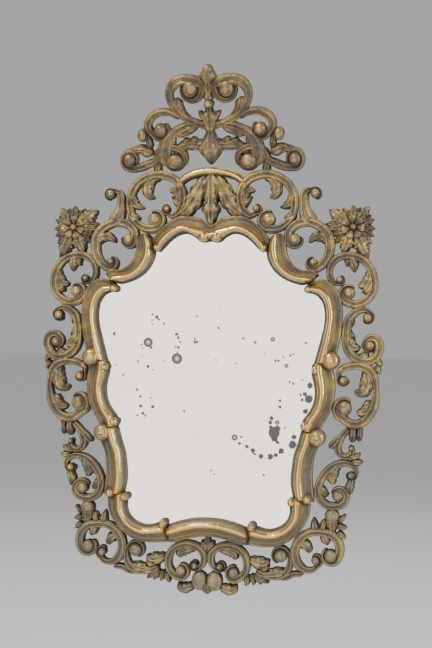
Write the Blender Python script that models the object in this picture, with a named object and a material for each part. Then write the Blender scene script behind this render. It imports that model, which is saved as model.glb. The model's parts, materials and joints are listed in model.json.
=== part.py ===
# Carved and gilded wall mirror, just under a metre high, with a separate cresting.
# The face looks along -Y, +Z is up, and the back of the hanging plate lies in the plane Y = 0,
# with the origin at the middle of that plate's back.
#
# The carving is laid out on the right half and mirrored. Its layout is in parts of the overall
# height (a thousandth, so about a millimetre): x outwards from the middle, z up from the lowest
# leaf, and a half-width. Depths, walls and fits below are real sizes in metres.

import bmesh
import bpy
from math import atan2, ceil, cos, hypot, pi, radians, sin

# Overall size
TOTAL_HEIGHT = 0.985
TOTAL_WIDTH = 0.648
LAYOUT_HEIGHT = 985.0
LAYOUT_WIDTH = 648.0

# Relief of the frame, measured forward from its flat back
ROLL_DEPTH = 0.038
COVE_DEPTH = 0.019
FILLET_DEPTH = 0.025
LIP_DEPTH = 0.019
SCROLL_DEPTH = 0.026
LEAF_DEPTH = 0.023
KNOB_DEPTH = 0.029
BEAD_DEPTH = 0.041
ARCH_DEPTH = 0.030
PALMETTE_DEPTH = 0.033
FLOWER_DEPTH = 0.024
FLOWER_HEART_DEPTH = 0.034

# Relief of the cresting, measured forward from its own flat back
CREST_SCROLL_DEPTH = 0.020
CREST_LEAF_DEPTH = 0.017
CREST_KNOB_DEPTH = 0.029
CREST_LEAN = radians(20)
CREST_STANDOFF = 0.003
CREST_SEAT = 801.0
CREST_SEAT_REACH = (93.0, 121.0)
CREST_FEET_REACH = (86.0, 124.0)
CREST_FACE_DROP = 0.0068
CREST_CUT_START = -100.0

# Glazing and hanging
LIP_COVER = 0.009
GLASS_THICKNESS = 0.004
BACKBOARD_THICKNESS = 0.007
BACKBOARD_INSET = 0.0025
FIT_CLEARANCE = 0.0005
TOUCH_GAP = 0.0003
PLATE_WIDTH = 0.046
PLATE_HEIGHT = 0.030
PLATE_THICKNESS = 0.002
PLATE_HOLE_RADIUS = 0.0045
PLATE_HOLE_RISE = 0.008
HANGING_LEVEL = 760.0

# How finely the curves are cut into flat facets
STEP_LENGTH = 26.0
STEP_TURN = radians(38)
KNOB_SIDES = 8
KNOB_RINGS = 4
OVERCUT = 0.006
CREST_REACH = 0.12
ROOM_BELOW = 0.04
KNOB_MIDDLE = 0.40
KNOB_FOOT = 0.92
KNOB_FROM = radians(-49.5)
KNOB_TO = radians(77.4)
NARROW_LEVEL = 0.62
LEAF_TIP_DROP = 0.3
ROUGH_STOCK = 0.001
FRAME_FACETS = 0.17
CREST_FACETS = 0.50

# The main moulding: each piece by its edge at the glass and its outer edge
MOULDING = {
    "crown": (
        [(0, 667), (12, 665), (21, 667), (29, 674), (43, 681), (58, 679), (73, 670), (85, 658), (96, 647)],
        [(0, 698), (20, 711), (40, 715.5), (58, 715.5), (74, 709), (89, 697), (103, 684), (111, 668), (103, 648)],
    ),
    "shoulder": (
        [(120, 682), (108, 668), (105, 650), (108, 632), (120, 612), (137, 598), (155, 590), (172, 586), (187, 589)],
        [(134, 682), (142, 668), (143, 652), (148, 636), (157, 624), (168, 616), (180, 614), (192, 615), (204, 606)],
    ),
    "upper side": (
        [(176, 573), (195, 569), (205, 562), (212, 550), (215, 532), (214, 512), (209, 490), (203, 467), (195, 438)],
        [(178, 584), (195, 594), (213, 597), (228, 590), (241, 573), (248, 545), (248, 520), (245, 490), (234, 438)],
    ),
    "waist": (
        [(193, 442), (192, 420), (196, 403), (198, 386), (195, 366), (187, 350), (177, 336), (172, 315)],
        [(228, 444), (233, 425), (236, 405), (236, 385), (232, 365), (226, 347), (216, 330), (206, 309)],
    ),
    "lower side": (
        [(174, 318), (167, 291), (160, 270), (157, 250), (155, 228), (156, 210), (161, 187)],
        [(216, 314), (207, 286), (200, 268), (197, 248), (196, 228), (198, 208), (200, 184)],
    ),
    "lower corner": (
        [(153, 192), (154, 175), (154, 163), (150, 151), (140, 140), (125, 133), (110, 132), (96, 136), (80, 141)],
        [(193, 192), (192, 165), (188, 150), (178, 133), (162, 116), (146, 105), (128, 99), (104, 98), (74, 100)],
    ),
    "bottom arch": (
        [(0, 148.5), (25, 147), (45, 143), (62, 138), (80, 131)],
        [(0, 113), (22, 111), (42, 106), (58, 101), (76, 99)],
    ),
}

# Stretches of those pieces whose edge at the glass the rebate follows, as shares of their length
REBATE_RUNS = {
    "crown": (0.10, 0.74),
    "shoulder": (0.36, 0.86),
    "upper side": (0.16, 0.92),
    "waist": (0.12, 0.86),
    "lower side": (0.10, 0.92),
    "lower corner": (0.14, 0.86),
    "bottom arch": (0.88, 0.04),
}

# Pieces that run across the middle; their points go from the middle outwards
ACROSS_THE_MIDDLE = ("crown", "bottom arch")

# Round ends of the moulding's rolls: x, z, radius
BEADS = [
    (12, 676, 10.5), (101, 655, 7), (184, 578, 7.5), (228, 447, 17), (201, 429, 8),
    (181, 325, 8.5), (204, 304, 16.5), (187, 190, 9), (158, 183, 8), (84, 135, 8.5),
]

# Bands of the scrollwork: x, z, half-width
SCROLLS = {
    "ring over the shoulder": [
        (84, 720, 4.5), (72, 716, 6.5), (60, 726, 8), (53.5, 745, 8), (56, 766, 8), (70, 784, 8.5), (88, 792, 8.5),
        (105, 794, 8.5), (125, 789, 8.5), (143, 777, 8.5), (154, 758, 8.5), (157, 738, 8), (153, 716, 7.5),
        (142, 701, 7.5), (127, 692, 8), (112, 691, 9)],
    "stalk": [
        (190, 764, 5.5), (180, 762, 6.5), (175, 752, 9), (175, 738, 9), (177, 724, 12.5), (183, 711, 15.5), (198, 700, 10)],
    "hook round the shoulder": [
        (182, 705, 9), (195, 701, 9), (209, 693, 9.5), (220, 679, 10), (223.5, 661, 10), (221, 642, 9.5),
        (212, 627, 9), (199, 617, 8)],
    "curl over the shoulder": [(186, 704, 9), (168, 702, 9), (155, 695, 9), (147, 684, 9), (147, 672, 9)],
    "flower stem": [(284, 672, 5.5), (291, 650, 5.5), (294, 634, 5.5), (301, 616, 6.5)],
    "ring under the flower": [
        (238, 590, 4.5), (230, 592, 5.5), (223.5, 603, 6.5), (223.5, 618, 6.5), (232, 633, 7.5), (248, 641, 7.5),
        (266, 641, 7.5), (284, 634, 7.5), (297, 620, 8), (304, 602, 8), (305, 582, 8), (298, 566, 8),
        (285, 555, 8), (270, 551, 8), (257, 555, 9)],
    "long curl of the side": [
        (298, 537, 4.5), (286, 541, 6), (271, 536, 8), (260, 523, 9), (256, 506, 9), (255, 488, 9), (258, 470, 9),
        (268, 456, 9), (284, 448, 8.5), (300, 448, 8.5), (311, 457, 9), (316, 472, 9), (312, 486, 9),
        (301, 490, 8), (292, 485, 6.5)],
    "great curl of the side": [
        (243, 416, 4.5), (243, 427, 5.5), (252, 434, 6.5), (266, 438, 7.5), (282, 438, 8), (297, 432, 9), (307, 418, 8),
        (311, 400, 5.5), (311, 384, 6.5), (308, 366, 9), (301, 350, 9), (291, 337, 9), (277, 330, 9), (262, 332, 9),
        (250, 341, 9)],
    "small curl of the side": [
        (264, 323, 5.5), (251, 309, 6.5), (244, 295, 7.5), (242, 283, 7.5), (248, 272, 6), (259, 270, 6),
        (267, 276, 6.5), (268, 286, 5.5)],
    "strap to the moulding": [(254, 313, 4.5), (239, 298, 6.5), (226, 285, 6.5)],
    "curl of the lower side": [
        (276, 236, 4.5), (276, 246, 5), (269, 254, 6), (256, 258, 6.5), (240, 254, 8), (224, 243, 8),
        (212, 226, 8), (207, 208, 8), (211, 190, 8), (224, 179, 8), (240, 178, 8), (253, 184, 9)],
    "ring of the corner": [
        (206, 65, 5.5), (199, 58, 5.5), (185, 57, 6.5), (172, 66, 9), (165, 82, 9), (166, 100, 9), (176, 117, 9),
        (192, 127, 8), (212, 129, 8), (232, 125, 8.5), (245, 112, 9), (248, 95, 9), (243, 80, 9)],
    "curl under the corner": [
        (150, 92, 4.5), (156, 80, 5.5), (156, 66, 6.5), (151, 54, 7.5), (141, 45, 8), (126, 42, 6.5), (108, 44, 6.5),
        (92, 52, 6.5)],
    "tail under the corner": [(181, 49, 4.5), (164, 49, 5.5), (150, 42, 5.5), (136, 39, 3)],
    "ring of the foot": [
        (30, 49, 3), (18, 51, 5.5), (8, 62, 6.5), (7, 78, 7.5), (17, 91, 7.5), (36, 97, 7.5), (56, 93, 7.5),
        (70, 81, 7.5), (75, 65, 7.5), (73, 50, 7.5), (64, 39, 8), (52, 34, 8)],
}

# Leaves and lobes: x, z, half-width, from root to tip
LEAVES = [
    [(98, 789, 5), (115, 783, 10), (123, 769, 12.5), (120, 755, 9), (109, 750, 2)],
    [(152, 768, 3), (152, 750, 9), (146, 737, 10), (129, 731, 2)],
    [(158, 724, 6), (150, 713, 10), (137, 712, 7.5)],
    [(57, 738, 5), (62, 752, 9), (71, 763, 7.5), (82, 763, 5)],
    [(60, 730, 5), (66, 742, 7.5), (77, 753, 2)],
    [(220, 662, 6), (212, 674, 10), (200, 677, 10), (191, 673, 7.5), (184, 665, 2)],
    [(270, 674, 6), (268, 660, 7.5), (263, 644, 5)],
    [(248, 674, 6), (247, 660, 9), (244, 644, 5)],
    [(256, 637, 5), (265, 632, 11), (268, 621, 9), (269, 610, 1.5)],
    [(252, 638, 5), (256, 629, 6), (253, 621, 2)],
    [(297, 616, 6), (295, 600, 10), (288, 588, 11), (275, 587, 5)],
    [(299, 594, 7.5), (292, 579, 9), (283, 573, 5)],
    [(262, 536, 5), (264, 523, 7.5), (266, 509, 3)],
    [(254, 500, 6), (259, 484, 12.5), (268, 472, 12.5), (282, 472, 5)],
    [(256, 508, 6), (262, 496, 7.5), (272, 489, 2)],
    [(276, 450, 6), (288, 455, 10), (297, 461, 6)],
    [(291, 432, 7.5), (294, 413, 12.5), (291, 396, 14), (283, 388, 10), (271, 391, 5)],
    [(305, 376, 6), (300, 364, 11), (290, 353, 12.5), (275, 352, 6)],
    [(302, 374, 6), (294, 367, 7.5), (287, 365, 3)],
    [(308, 438, 7.5), (315, 431, 6), (317, 422, 2)],
    [(308, 452, 7.5), (317, 444, 6), (320, 436, 2)],
    [(282, 328, 6), (282, 312, 6), (281, 298, 5)],
    [(270, 328, 6), (270, 312, 9), (268, 296, 6)],
    [(246, 256, 6), (236, 244, 11), (232, 230, 11), (237, 218, 5)],
    [(207, 224, 5), (212, 208, 10), (221, 200, 7.5), (227, 199, 3)],
    [(270, 232, 6), (265, 214, 9), (267, 200, 3)],
    [(266, 262, 6), (279, 260, 7.5), (289, 261, 2)],
    [(262, 268, 6), (276, 271, 6), (284, 277, 2)],
    [(233, 170, 14), (233, 152, 14), (234, 138, 11), (236, 128, 5)],
    [(243, 150, 6), (253, 157, 5), (258, 163, 2)],
    [(242, 142, 7.5), (253, 139, 6), (261, 138, 2)],
    [(242, 128, 7.5), (252, 124, 6), (258, 117, 2)],
    [(204, 132, 11), (201, 142, 9), (199, 156, 1.5)],
    [(222, 152, 6), (217, 142, 7.5), (217, 132, 6)],
    [(214, 128, 6), (221, 117, 10), (226, 105, 5)],
    [(169, 110, 7.5), (182, 106, 11), (190, 97, 9), (191, 88, 3)],
    [(150, 52, 7.5), (133, 49, 12.5), (115, 46, 10), (98, 50, 6)],
    [(79, 75, 7.5), (93, 68, 12.5), (108, 67, 12.5), (118, 73, 3)],
    [(98, 58, 6), (109, 57, 6), (118, 63, 2)],
    [(92, 46, 6), (104, 36, 6), (117, 30, 2.5)],
    [(90, 46, 6), (98, 35, 6), (103, 26, 2.5)],
    [(84, 46, 6), (87, 34, 6), (89, 24, 2.5)],
    [(76, 44, 7.5), (76, 33, 7.5), (72, 22, 3)],
    [(20, 88, 5), (36, 88, 10), (51, 81, 11), (52, 70, 6)],
    [(0, 86, 5), (7, 97, 7.5), (12, 105, 3)],
    [(24, 20, 7.5), (38, 15, 11), (48, 14, 11), (56, 24, 3)],
]

MIDDLE_LEAVES = [
    [(0, 80, 4.5), (0, 95, 9), (0, 116, 4.5)],
    [(0, 40, 9), (0, 24, 11.5), (0, 11, 10.5), (0, 3, 3)],
]

PALMETTE_SIDE = [(8, 792, 9), (19, 774, 12.5), (27, 755, 12.5), (36, 736, 11), (47, 722, 9), (58, 717, 3)]
PALMETTE_MIDDLE = [(0, 796, 14), (0, 765, 17), (0, 742, 14), (0, 727, 19), (0, 712, 11), (0, 692, 4)]

ARCH = [(0, 799, 8), (18, 797.8, 8), (35, 794, 8), (50, 787.5, 7.5), (62, 777, 7)]

# Round eyes of the scrolls: x, z, radius across, radius up
KNOBS = [
    (109, 709, 18, 18), (85, 729, 9, 9), (195, 757, 12.5, 12.5), (158, 671, 16, 16), (193, 629, 10.5, 10.5),
    (260, 572, 15.5, 15.5), (242, 597, 9, 9), (293.5, 527, 12, 12), (299, 476, 12.5, 12.5), (251, 411, 12, 12),
    (254, 359, 18, 20), (267, 286, 6.5, 6.5), (243, 197, 15, 15), (267, 236, 9.5, 9.5), (233, 160, 14, 13),
    (231, 86, 17, 17), (203, 76, 11, 11), (138, 82, 17.5, 17.5), (50, 46, 14.5, 15), (24, 57, 9, 9),
    (14, 29, 16, 19),
]

# The flower at the upper corner: leaves round a rosette, each by direction and length
FLOWER_CENTRE = (266, 694)
FLOWER_LEAVES = [(132, 52), (90, 41), (45, 54), (172, 45), (210, 46), (246, 44), (288, 42), (345, 44)]
FLOWER_LEAF_SHAPE = [(0.15, 9), (0.5, 16), (0.6, 12), (0.76, 12), (0.84, 6), (1.0, 1)]
FLOWER_HEART_RADIUS = 22

# The cresting, in its own leaning plane: x, height above its feet, half-width
CREST_SCROLLS = {
    "great curl": [
        (23, 74.5, 4), (35, 78.5, 6), (48.5, 86, 7.5), (61, 96.5, 8), (70, 109.5, 8), (74, 122.5, 8),
        (71.5, 134.5, 9), (62.5, 145, 10.5), (50, 149.5, 10.5), (38, 149, 11), (25, 146, 12), (12, 140, 8)],
    "lesser curl": [
        (57, 82.5, 4), (69.5, 91.5, 6), (83.5, 95, 7), (98, 93.5, 7.5), (109.5, 87, 8), (117, 76.5, 8),
        (116.5, 66, 8), (110, 58, 7)],
    "swept arm": [
        (18, 72, 4), (34, 72.5, 5.5), (48.5, 69, 7), (63.5, 62, 8.5), (76.5, 52.5, 10.5), (84.5, 41, 12.5),
        (88.5, 28, 14), (88, 14.5, 14), (80, 5, 11)],
    "end curl": [
        (166, 21, 6), (169.5, 8.5, 7), (164, -2.5, 7.5), (152, -5, 7.5), (136, -3, 8), (122.5, 2, 8), (108, 9, 7)],
}

CREST_LEAVES = [
    [(36, 80, 5), (49.5, 90, 8), (57.5, 101.5, 11), (60, 112, 12), (59.5, 119, 12)],
    [(22, 70.5, 4), (33, 66, 8), (45, 61.5, 9.5), (55, 56.5, 8), (62, 50, 4)],
    [(72, 52, 8), (72, 41, 6.5), (70, 32.5, 3)],
    [(123, 59.5, 5), (118.5, 48.5, 6.5), (116.5, 38.5, 7), (111.5, 31.5, 5)],
    [(160.5, 23, 6), (146, 27.5, 7), (132, 28.5, 10), (120.5, 24.5, 11), (111, 20, 8)],
    [(25, 39.5, 8), (32, 46, 6), (37.5, 48.5, 2.5)],
    [(39.5, 38.5, 8), (47.5, 44, 6), (53.5, 44.5, 2.5)],
    [(13, 41.5, 8), (19, 44.5, 4)],
    [(12, 84, 7), (18, 91, 6), (22.5, 97, 3)],
    [(100, 30, 6), (104, 15, 8), (104, 1, 8.5), (103, -20, 9)],
]

CREST_MIDDLE = [
    [(0, 116, 13), (0, 123, 11), (0, 134, 9), (0, 143.5, 9), (0, 152, 12), (0, 160, 18), (0, 167.5, 13.5),
     (0, 173, 8.5), (0, 176.5, 3)],
    [(0, 88, 8), (0, 101.5, 7.5), (0, 114, 8)],
    [(0, 58.5, 10.5), (0, 71, 15), (0, 82, 19), (0, 90.5, 21), (0, 96, 19)],
    [(0, 62.5, 11), (0, 52.5, 12), (0, 41.5, 18), (0, 28, 23.5), (0, 13.5, 14), (0, 0.5, 2.5)],
]

CREST_BAR = [(0, 33.5, 14), (24, 36, 11), (38.5, 37, 11), (52, 34.5, 9.5), (63, 29, 8.5), (72, 20, 8)]
CREST_BEAD = (0, 108, 10, 8)

CREST_KNOBS = [
    (34, 134.5, 19.5, 20.5), (94, 63.5, 17, 16.5), (129, 54.5, 10, 12), (157, 10.5, 16.5, 17), (70, 8, 22.5, 18.5),
]

# Sections across the work: share of the half-width, share of the depth
BAND_SECTION = [(-1.0, 0.45), (-0.55, 1.0), (0.55, 1.0), (1.0, 0.45)]
LEAF_SECTION = [(-1.0, 0.55), (0.0, 1.0), (1.0, 0.55)]
MOULDING_SECTION = [
    (0.00, LIP_DEPTH), (0.10, LIP_DEPTH), (0.30, ROLL_DEPTH), (0.50, 0.9 * ROLL_DEPTH), (0.60, COVE_DEPTH),
    (0.84, COVE_DEPTH), (0.92, FILLET_DEPTH), (1.00, FILLET_DEPTH),
]

ACROSS = TOTAL_WIDTH / LAYOUT_WIDTH
UP = TOTAL_HEIGHT / LAYOUT_HEIGHT


def clear_scene():
    for item in list(bpy.data.objects):
        bpy.data.objects.remove(item, do_unlink=True)


def collection(name):
    made = bpy.data.collections.new(name)
    bpy.context.scene.collection.children.link(made)
    return made


def frame_place(x, z, depth):
    # A point of the frame's layout, depth metres in front of its flat back
    return (x * ACROSS, -PLATE_THICKNESS - TOUCH_GAP - depth, (z - HANGING_LEVEL) * UP)


def whole(points):
    # A line given from the middle outwards, drawn from one side to the other
    start = 0 if points[0][0] else 1
    return [(-point[0], *point[1:]) for point in reversed(points[start:])] + list(points)


def other_side(place):
    # The same layout mirrored about the middle
    return lambda x, z, depth: place(-x, z, depth)


def crest_place(x, rise, depth):
    # A point of the cresting, whose flat back leans forward about the line of its feet;
    # the rise is the height seen from the front, at the face of the work
    up = (rise * UP + CREST_FACE_DROP) / cos(CREST_LEAN)
    forward = CREST_STANDOFF + up * sin(CREST_LEAN) + depth * cos(CREST_LEAN)
    height = up * cos(CREST_LEAN) - depth * sin(CREST_LEAN) + CREST_FACE_DROP
    _, back, seat = frame_place(0, CREST_SEAT, 0)
    return (x * ACROSS, back - forward, seat + height)


def smooth(points, share):
    # A point of the Catmull-Rom curve through the points, at a share of its knots
    last = len(points) - 1
    place = min(max(share, 0.0), 1.0) * last
    knot = min(int(place), last - 1)
    t = place - knot
    before = points[max(knot - 1, 0)]
    after = points[min(knot + 2, last)]
    made = []
    for a, b, c, d in zip(before, points[knot], points[knot + 1], after):
        made.append(0.5 * (2 * b + (c - a) * t + (2 * a - 5 * b + 4 * c - d) * t * t
                           + (3 * b - a - 3 * c + d) * t ** 3))
    return made


def stations(points):
    # Shares along the curve, closer together where it turns
    fine = 40 * (len(points) - 1)
    path = [smooth(points, i / fine) for i in range(fine + 1)]
    spent = [0.0]
    heading = None
    for a, b in zip(path, path[1:]):
        way = atan2(b[1] - a[1], b[0] - a[0])
        turn = 0.0 if heading is None else abs((way - heading + pi) % (2 * pi) - pi)
        heading = way
        spent.append(spent[-1] + hypot(b[0] - a[0], b[1] - a[1]) / STEP_LENGTH + turn / STEP_TURN)
    count = max(2, ceil(spent[-1]))
    shares = []
    index = 0
    for step in range(count + 1):
        goal = spent[-1] * step / count
        while index < fine and spent[index] < goal - 1e-9:
            index += 1
        shares.append(index / fine)
    return shares


def start_depth(home):
    # How far a piece starts behind the flat back; each a little deeper, so that no two ends are level
    return -OVERCUT * (1 + 0.003 * len(home.objects))


def solid_from_rings(name, rings, home):
    # A closed body lofted through rings of points, with flat ends
    mesh = bpy.data.meshes.new(name)
    shape = bmesh.new()
    made = [[shape.verts.new(point) for point in ring] for ring in rings]
    count = len(rings[0])
    for near, far in zip(made, made[1:]):
        for i in range(count):
            j = (i + 1) % count
            shape.faces.new((near[i], near[j], far[j], far[i]))
    shape.faces.new(made[0])
    shape.faces.new(made[-1])
    bmesh.ops.recalc_face_normals(shape, faces=shape.faces)
    bmesh.ops.triangulate(shape, faces=shape.faces)
    shape.to_mesh(mesh)
    shape.free()
    body = bpy.data.objects.new(name, mesh)
    home.objects.link(body)
    body.hide_render = True
    body.display_type = "WIRE"
    return body


def band(name, points, section, depth, place, home):
    # A scroll band or leaf: the section swept along a curve, lower where the band is narrow
    widest = max(point[2] for point in points)
    foot = start_depth(home)
    rings = []
    for share in stations(points):
        x, z, half = smooth(points, share)
        ahead = smooth(points, share + 0.002)
        behind = smooth(points, share - 0.002)
        way = hypot(ahead[0] - behind[0], ahead[1] - behind[1])
        side_x = -(ahead[1] - behind[1]) / way
        side_z = (ahead[0] - behind[0]) / way
        tall = depth * (NARROW_LEVEL + (1 - NARROW_LEVEL) * half / widest)
        ring = [place(x + side_x * half * across, z + side_z * half * across, tall * up)
                for across, up in section]
        for across in (section[-1][0], section[0][0]):
            ring.append(place(x + side_x * half * across, z + side_z * half * across, foot))
        rings.append(ring)
    return solid_from_rings(name, rings, home)


def knob(name, x, z, across, up, depth, place, home):
    # A round boss standing on the flat back: rings of an egg shape, from behind to its crown
    rings = []
    middle = KNOB_MIDDLE * depth
    reach = depth - middle
    foot = start_depth(home)
    for i in range(KNOB_RINGS + 1):
        angle = KNOB_FROM + (KNOB_TO - KNOB_FROM) * i / KNOB_RINGS
        ring = []
        for j in range(KNOB_SIDES):
            turn = 2 * pi * (j + 0.5) / KNOB_SIDES
            wide = cos(angle) if i else KNOB_FOOT
            level = middle + reach * sin(angle) if i else foot
            ring.append(place(x + across * wide * cos(turn), z + up * wide * sin(turn), level))
        rings.append(ring)
    return solid_from_rings(name, rings, home)


def moulding_piece(name, place, home):
    # One piece of the main moulding: its section drawn between its two edges
    inner, outer = MOULDING[name]
    if name in ACROSS_THE_MIDDLE:
        inner, outer = whole(inner), whole(outer)
    foot = start_depth(home)
    rings = []
    for share in stations(inner if len(inner) > len(outer) else outer):
        ix, iz = smooth(inner, share)
        ox, oz = smooth(outer, share)
        ring = [place(ix + (ox - ix) * t, iz + (oz - iz) * t, level) for t, level in MOULDING_SECTION]
        ring.append(place(ox, oz, foot))
        ring.append(place(ix, iz, foot))
        rings.append(ring)
    return solid_from_rings(name, rings, home)


def flower(place, home):
    # Pointed, toothed leaves round a low rosette
    cx, cz = FLOWER_CENTRE
    for number, (direction, length) in enumerate(FLOWER_LEAVES):
        turn = radians(180 - direction)
        points = [(cx + cos(turn) * length * along, cz + sin(turn) * length * along, half)
                  for along, half in FLOWER_LEAF_SHAPE]
        straight_leaf(f"flower leaf {number}", points, FLOWER_DEPTH, place, home)
    knob("rosette", cx, cz, FLOWER_HEART_RADIUS, FLOWER_HEART_RADIUS, FLOWER_HEART_DEPTH, place, home)


def straight_leaf(name, points, depth, place, home):
    # A toothed leaf with a straight spine: one ring at each of its points
    (x0, z0, _), (x1, z1, _) = points[0], points[-1]
    way = hypot(x1 - x0, z1 - z0)
    side_x, side_z = -(z1 - z0) / way, (x1 - x0) / way
    foot = start_depth(home)
    rings = []
    for i, (x, z, half) in enumerate(points):
        tall = depth * (1.0 - LEAF_TIP_DROP * i / (len(points) - 1))
        ring = [place(x + side_x * half * across, z + side_z * half * across, tall * up)
                for across, up in LEAF_SECTION]
        for across in (1.0, -1.0):
            ring.append(place(x + side_x * half * across, z + side_z * half * across, foot))
        rings.append(ring)
    return solid_from_rings(name, rings, home)


def rebate_outline(cover):
    # The right half of a closed line that lies this far behind the moulding's edge, top to bottom
    line = []
    for name, (start, end) in REBATE_RUNS.items():
        inner, outer = MOULDING[name]
        count = max(2, round((end - start) * 8))
        for i in range(count + 1):
            share = start + (end - start) * i / count
            ix, iz = smooth(inner, share)
            ox, oz = smooth(outer, share)
            way = hypot((ox - ix) * ACROSS, (oz - iz) * UP)
            line.append((ix + (ox - ix) * cover / way, iz + (oz - iz) * cover / way))
    return line


def plate_from_outline(name, cover, front, back, home):
    # A flat sheet of that outline between two depths
    half = rebate_outline(cover)
    outline = half + [(-x, z) for x, z in reversed(half)]
    curve = bpy.data.curves.new(name, "CURVE")
    curve.dimensions = "2D"
    curve.fill_mode = "BOTH"
    curve.extrude = (front - back) / 2
    line = curve.splines.new("POLY")
    line.points.add(len(outline) - 1)
    _, level, _ = frame_place(0, 0, (front + back) / 2)
    for point, (x, z) in zip(line.points, outline):
        px, _, pz = frame_place(x, z, 0)
        point.co = (px, pz, 0.0, 1.0)
    line.use_cyclic_u = True
    source = bpy.data.objects.new(name + " outline", curve)
    bpy.context.scene.collection.objects.link(source)
    source.rotation_euler = (pi / 2, 0, 0)
    source.location = (0, level, 0)
    bpy.context.view_layer.update()
    graph = bpy.context.evaluated_depsgraph_get()
    mesh = bpy.data.meshes.new_from_object(source.evaluated_get(graph))
    mesh.transform(source.matrix_world)
    bpy.data.objects.remove(source, do_unlink=True)
    shape = bmesh.new()
    shape.from_mesh(mesh)
    bmesh.ops.remove_doubles(shape, verts=shape.verts, dist=1e-6)
    bmesh.ops.recalc_face_normals(shape, faces=shape.faces)
    bmesh.ops.triangulate(shape, faces=shape.faces)
    shape.to_mesh(mesh)
    shape.free()
    sheet = bpy.data.objects.new(name, mesh)
    home.objects.link(sheet)
    return sheet


def box(name, low, high, home):
    mesh = bpy.data.meshes.new(name)
    shape = bmesh.new()
    bmesh.ops.create_cube(shape, size=1.0)
    for corner in shape.verts:
        corner.co = [a + (b - a) * (c + 0.5) for a, b, c in zip(low, high, corner.co)]
    shape.to_mesh(mesh)
    shape.free()
    made = bpy.data.objects.new(name, mesh)
    home.objects.link(made)
    return made


def as_cutter(item):
    item.hide_render = True
    item.display_type = "WIRE"
    return item


def boolean(item, name, operation, cutter=None, group=None, solver="EXACT"):
    cut = item.modifiers.new(name, "BOOLEAN")
    cut.operation = operation
    cut.solver = solver
    if group is None:
        cut.object = cutter
    else:
        cut.operand_type = "COLLECTION"
        cut.collection = group
        cut.use_self = True
    return cut


def fewer_facets(item, share):
    # Joins facets that differ least, until this share of them is left
    fewer = item.modifiers.new("fewer facets", "DECIMATE")
    fewer.decimate_type = "COLLAPSE"
    fewer.ratio = share


def plain_flats(item, flat_angle):
    # Facets that lie in one plane become one face
    flats = item.modifiers.new("plain backs", "DECIMATE")
    flats.decimate_type = "DISSOLVE"
    flats.angle_limit = flat_angle


def material(item, colour, roughness, metallic=0.0):
    finish = bpy.data.materials.new(item.name)
    finish.use_nodes = True
    shader = finish.node_tree.nodes["Principled BSDF"]
    shader.inputs["Base Color"].default_value = (*colour, 1.0)
    shader.inputs["Roughness"].default_value = roughness
    shader.inputs["Metallic"].default_value = metallic
    item.data.materials.clear()
    item.data.materials.append(finish)


def build_rebate(cutters):
    depth = BACKBOARD_INSET + BACKBOARD_THICKNESS + GLASS_THICKNESS + 2 * TOUCH_GAP
    return plate_from_outline("rebate", LIP_COVER, depth, -OVERCUT, cutters)


def build_frame(rebate, parts, cutters):
    carving = collection("frame carving")
    base = moulding_piece("crown", frame_place, parts)
    base.name = "frame"
    base.hide_render = False
    base.display_type = "TEXTURED"
    moulding_piece("bottom arch", frame_place, carving)
    band("arch", whole(ARCH), BAND_SECTION, ARCH_DEPTH, frame_place, carving)
    for number, points in enumerate(MIDDLE_LEAVES):
        band(f"middle leaf {number}", points, LEAF_SECTION, LEAF_DEPTH, frame_place, carving)
    band("palmette", PALMETTE_MIDDLE, LEAF_SECTION, PALMETTE_DEPTH, frame_place, carving)
    for place in (frame_place, other_side(frame_place)):
        for name in MOULDING:
            if name not in ACROSS_THE_MIDDLE:
                moulding_piece(name, place, carving)
        for number, (x, z, radius) in enumerate(BEADS):
            knob(f"bead {number}", x, z, radius, radius, BEAD_DEPTH, place, carving)
        for name, points in SCROLLS.items():
            band(name, points, BAND_SECTION, SCROLL_DEPTH, place, carving)
        for number, points in enumerate(LEAVES):
            band(f"leaf {number}", points, LEAF_SECTION, LEAF_DEPTH, place, carving)
        band("palmette side", PALMETTE_SIDE, LEAF_SECTION, PALMETTE_DEPTH, place, carving)
        for number, (x, z, across, up) in enumerate(KNOBS):
            knob(f"eye {number}", x, z, across, up, KNOB_DEPTH, place, carving)
        flower(place, carving)
    boolean(base, "carved as one", "UNION", group=carving)
    _, back, _ = frame_place(0, 0, 0)
    rough_cut = box("rough frame back", (-TOTAL_WIDTH, back + ROUGH_STOCK, -TOTAL_HEIGHT),
                    (TOTAL_WIDTH, back + 4 * OVERCUT, 1), cutters)
    boolean(base, "sawn back", "DIFFERENCE", as_cutter(rough_cut))
    fewer_facets(base, FRAME_FACETS)

    # The exact solver loses the body after the facets are thinned, so these cuts use the other one
    _, seat_front, seat = frame_place(0, CREST_SEAT, 2 * SCROLL_DEPTH)
    reach = [x * ACROSS for x in CREST_SEAT_REACH]
    back_cut = box("frame back", (-TOTAL_WIDTH, back, -TOTAL_HEIGHT), (TOTAL_WIDTH, back + 4 * OVERCUT, 1), cutters)
    boolean(base, "flat back", "DIFFERENCE", as_cutter(back_cut), solver="MANIFOLD")
    for side in (1, -1):
        low, high = sorted(side * edge for edge in reach)
        seat_cut = box("crest seat", (low, seat_front, seat), (high, back + OVERCUT, seat + 0.02), cutters)
        boolean(base, "seat of the cresting", "DIFFERENCE", as_cutter(seat_cut), solver="MANIFOLD")
    boolean(base, "rebate", "DIFFERENCE", as_cutter(rebate), solver="MANIFOLD")
    plain_flats(base, radians(0.5))
    material(base, (0.42, 0.30, 0.13), 0.42, 0.7)
    return base


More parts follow.
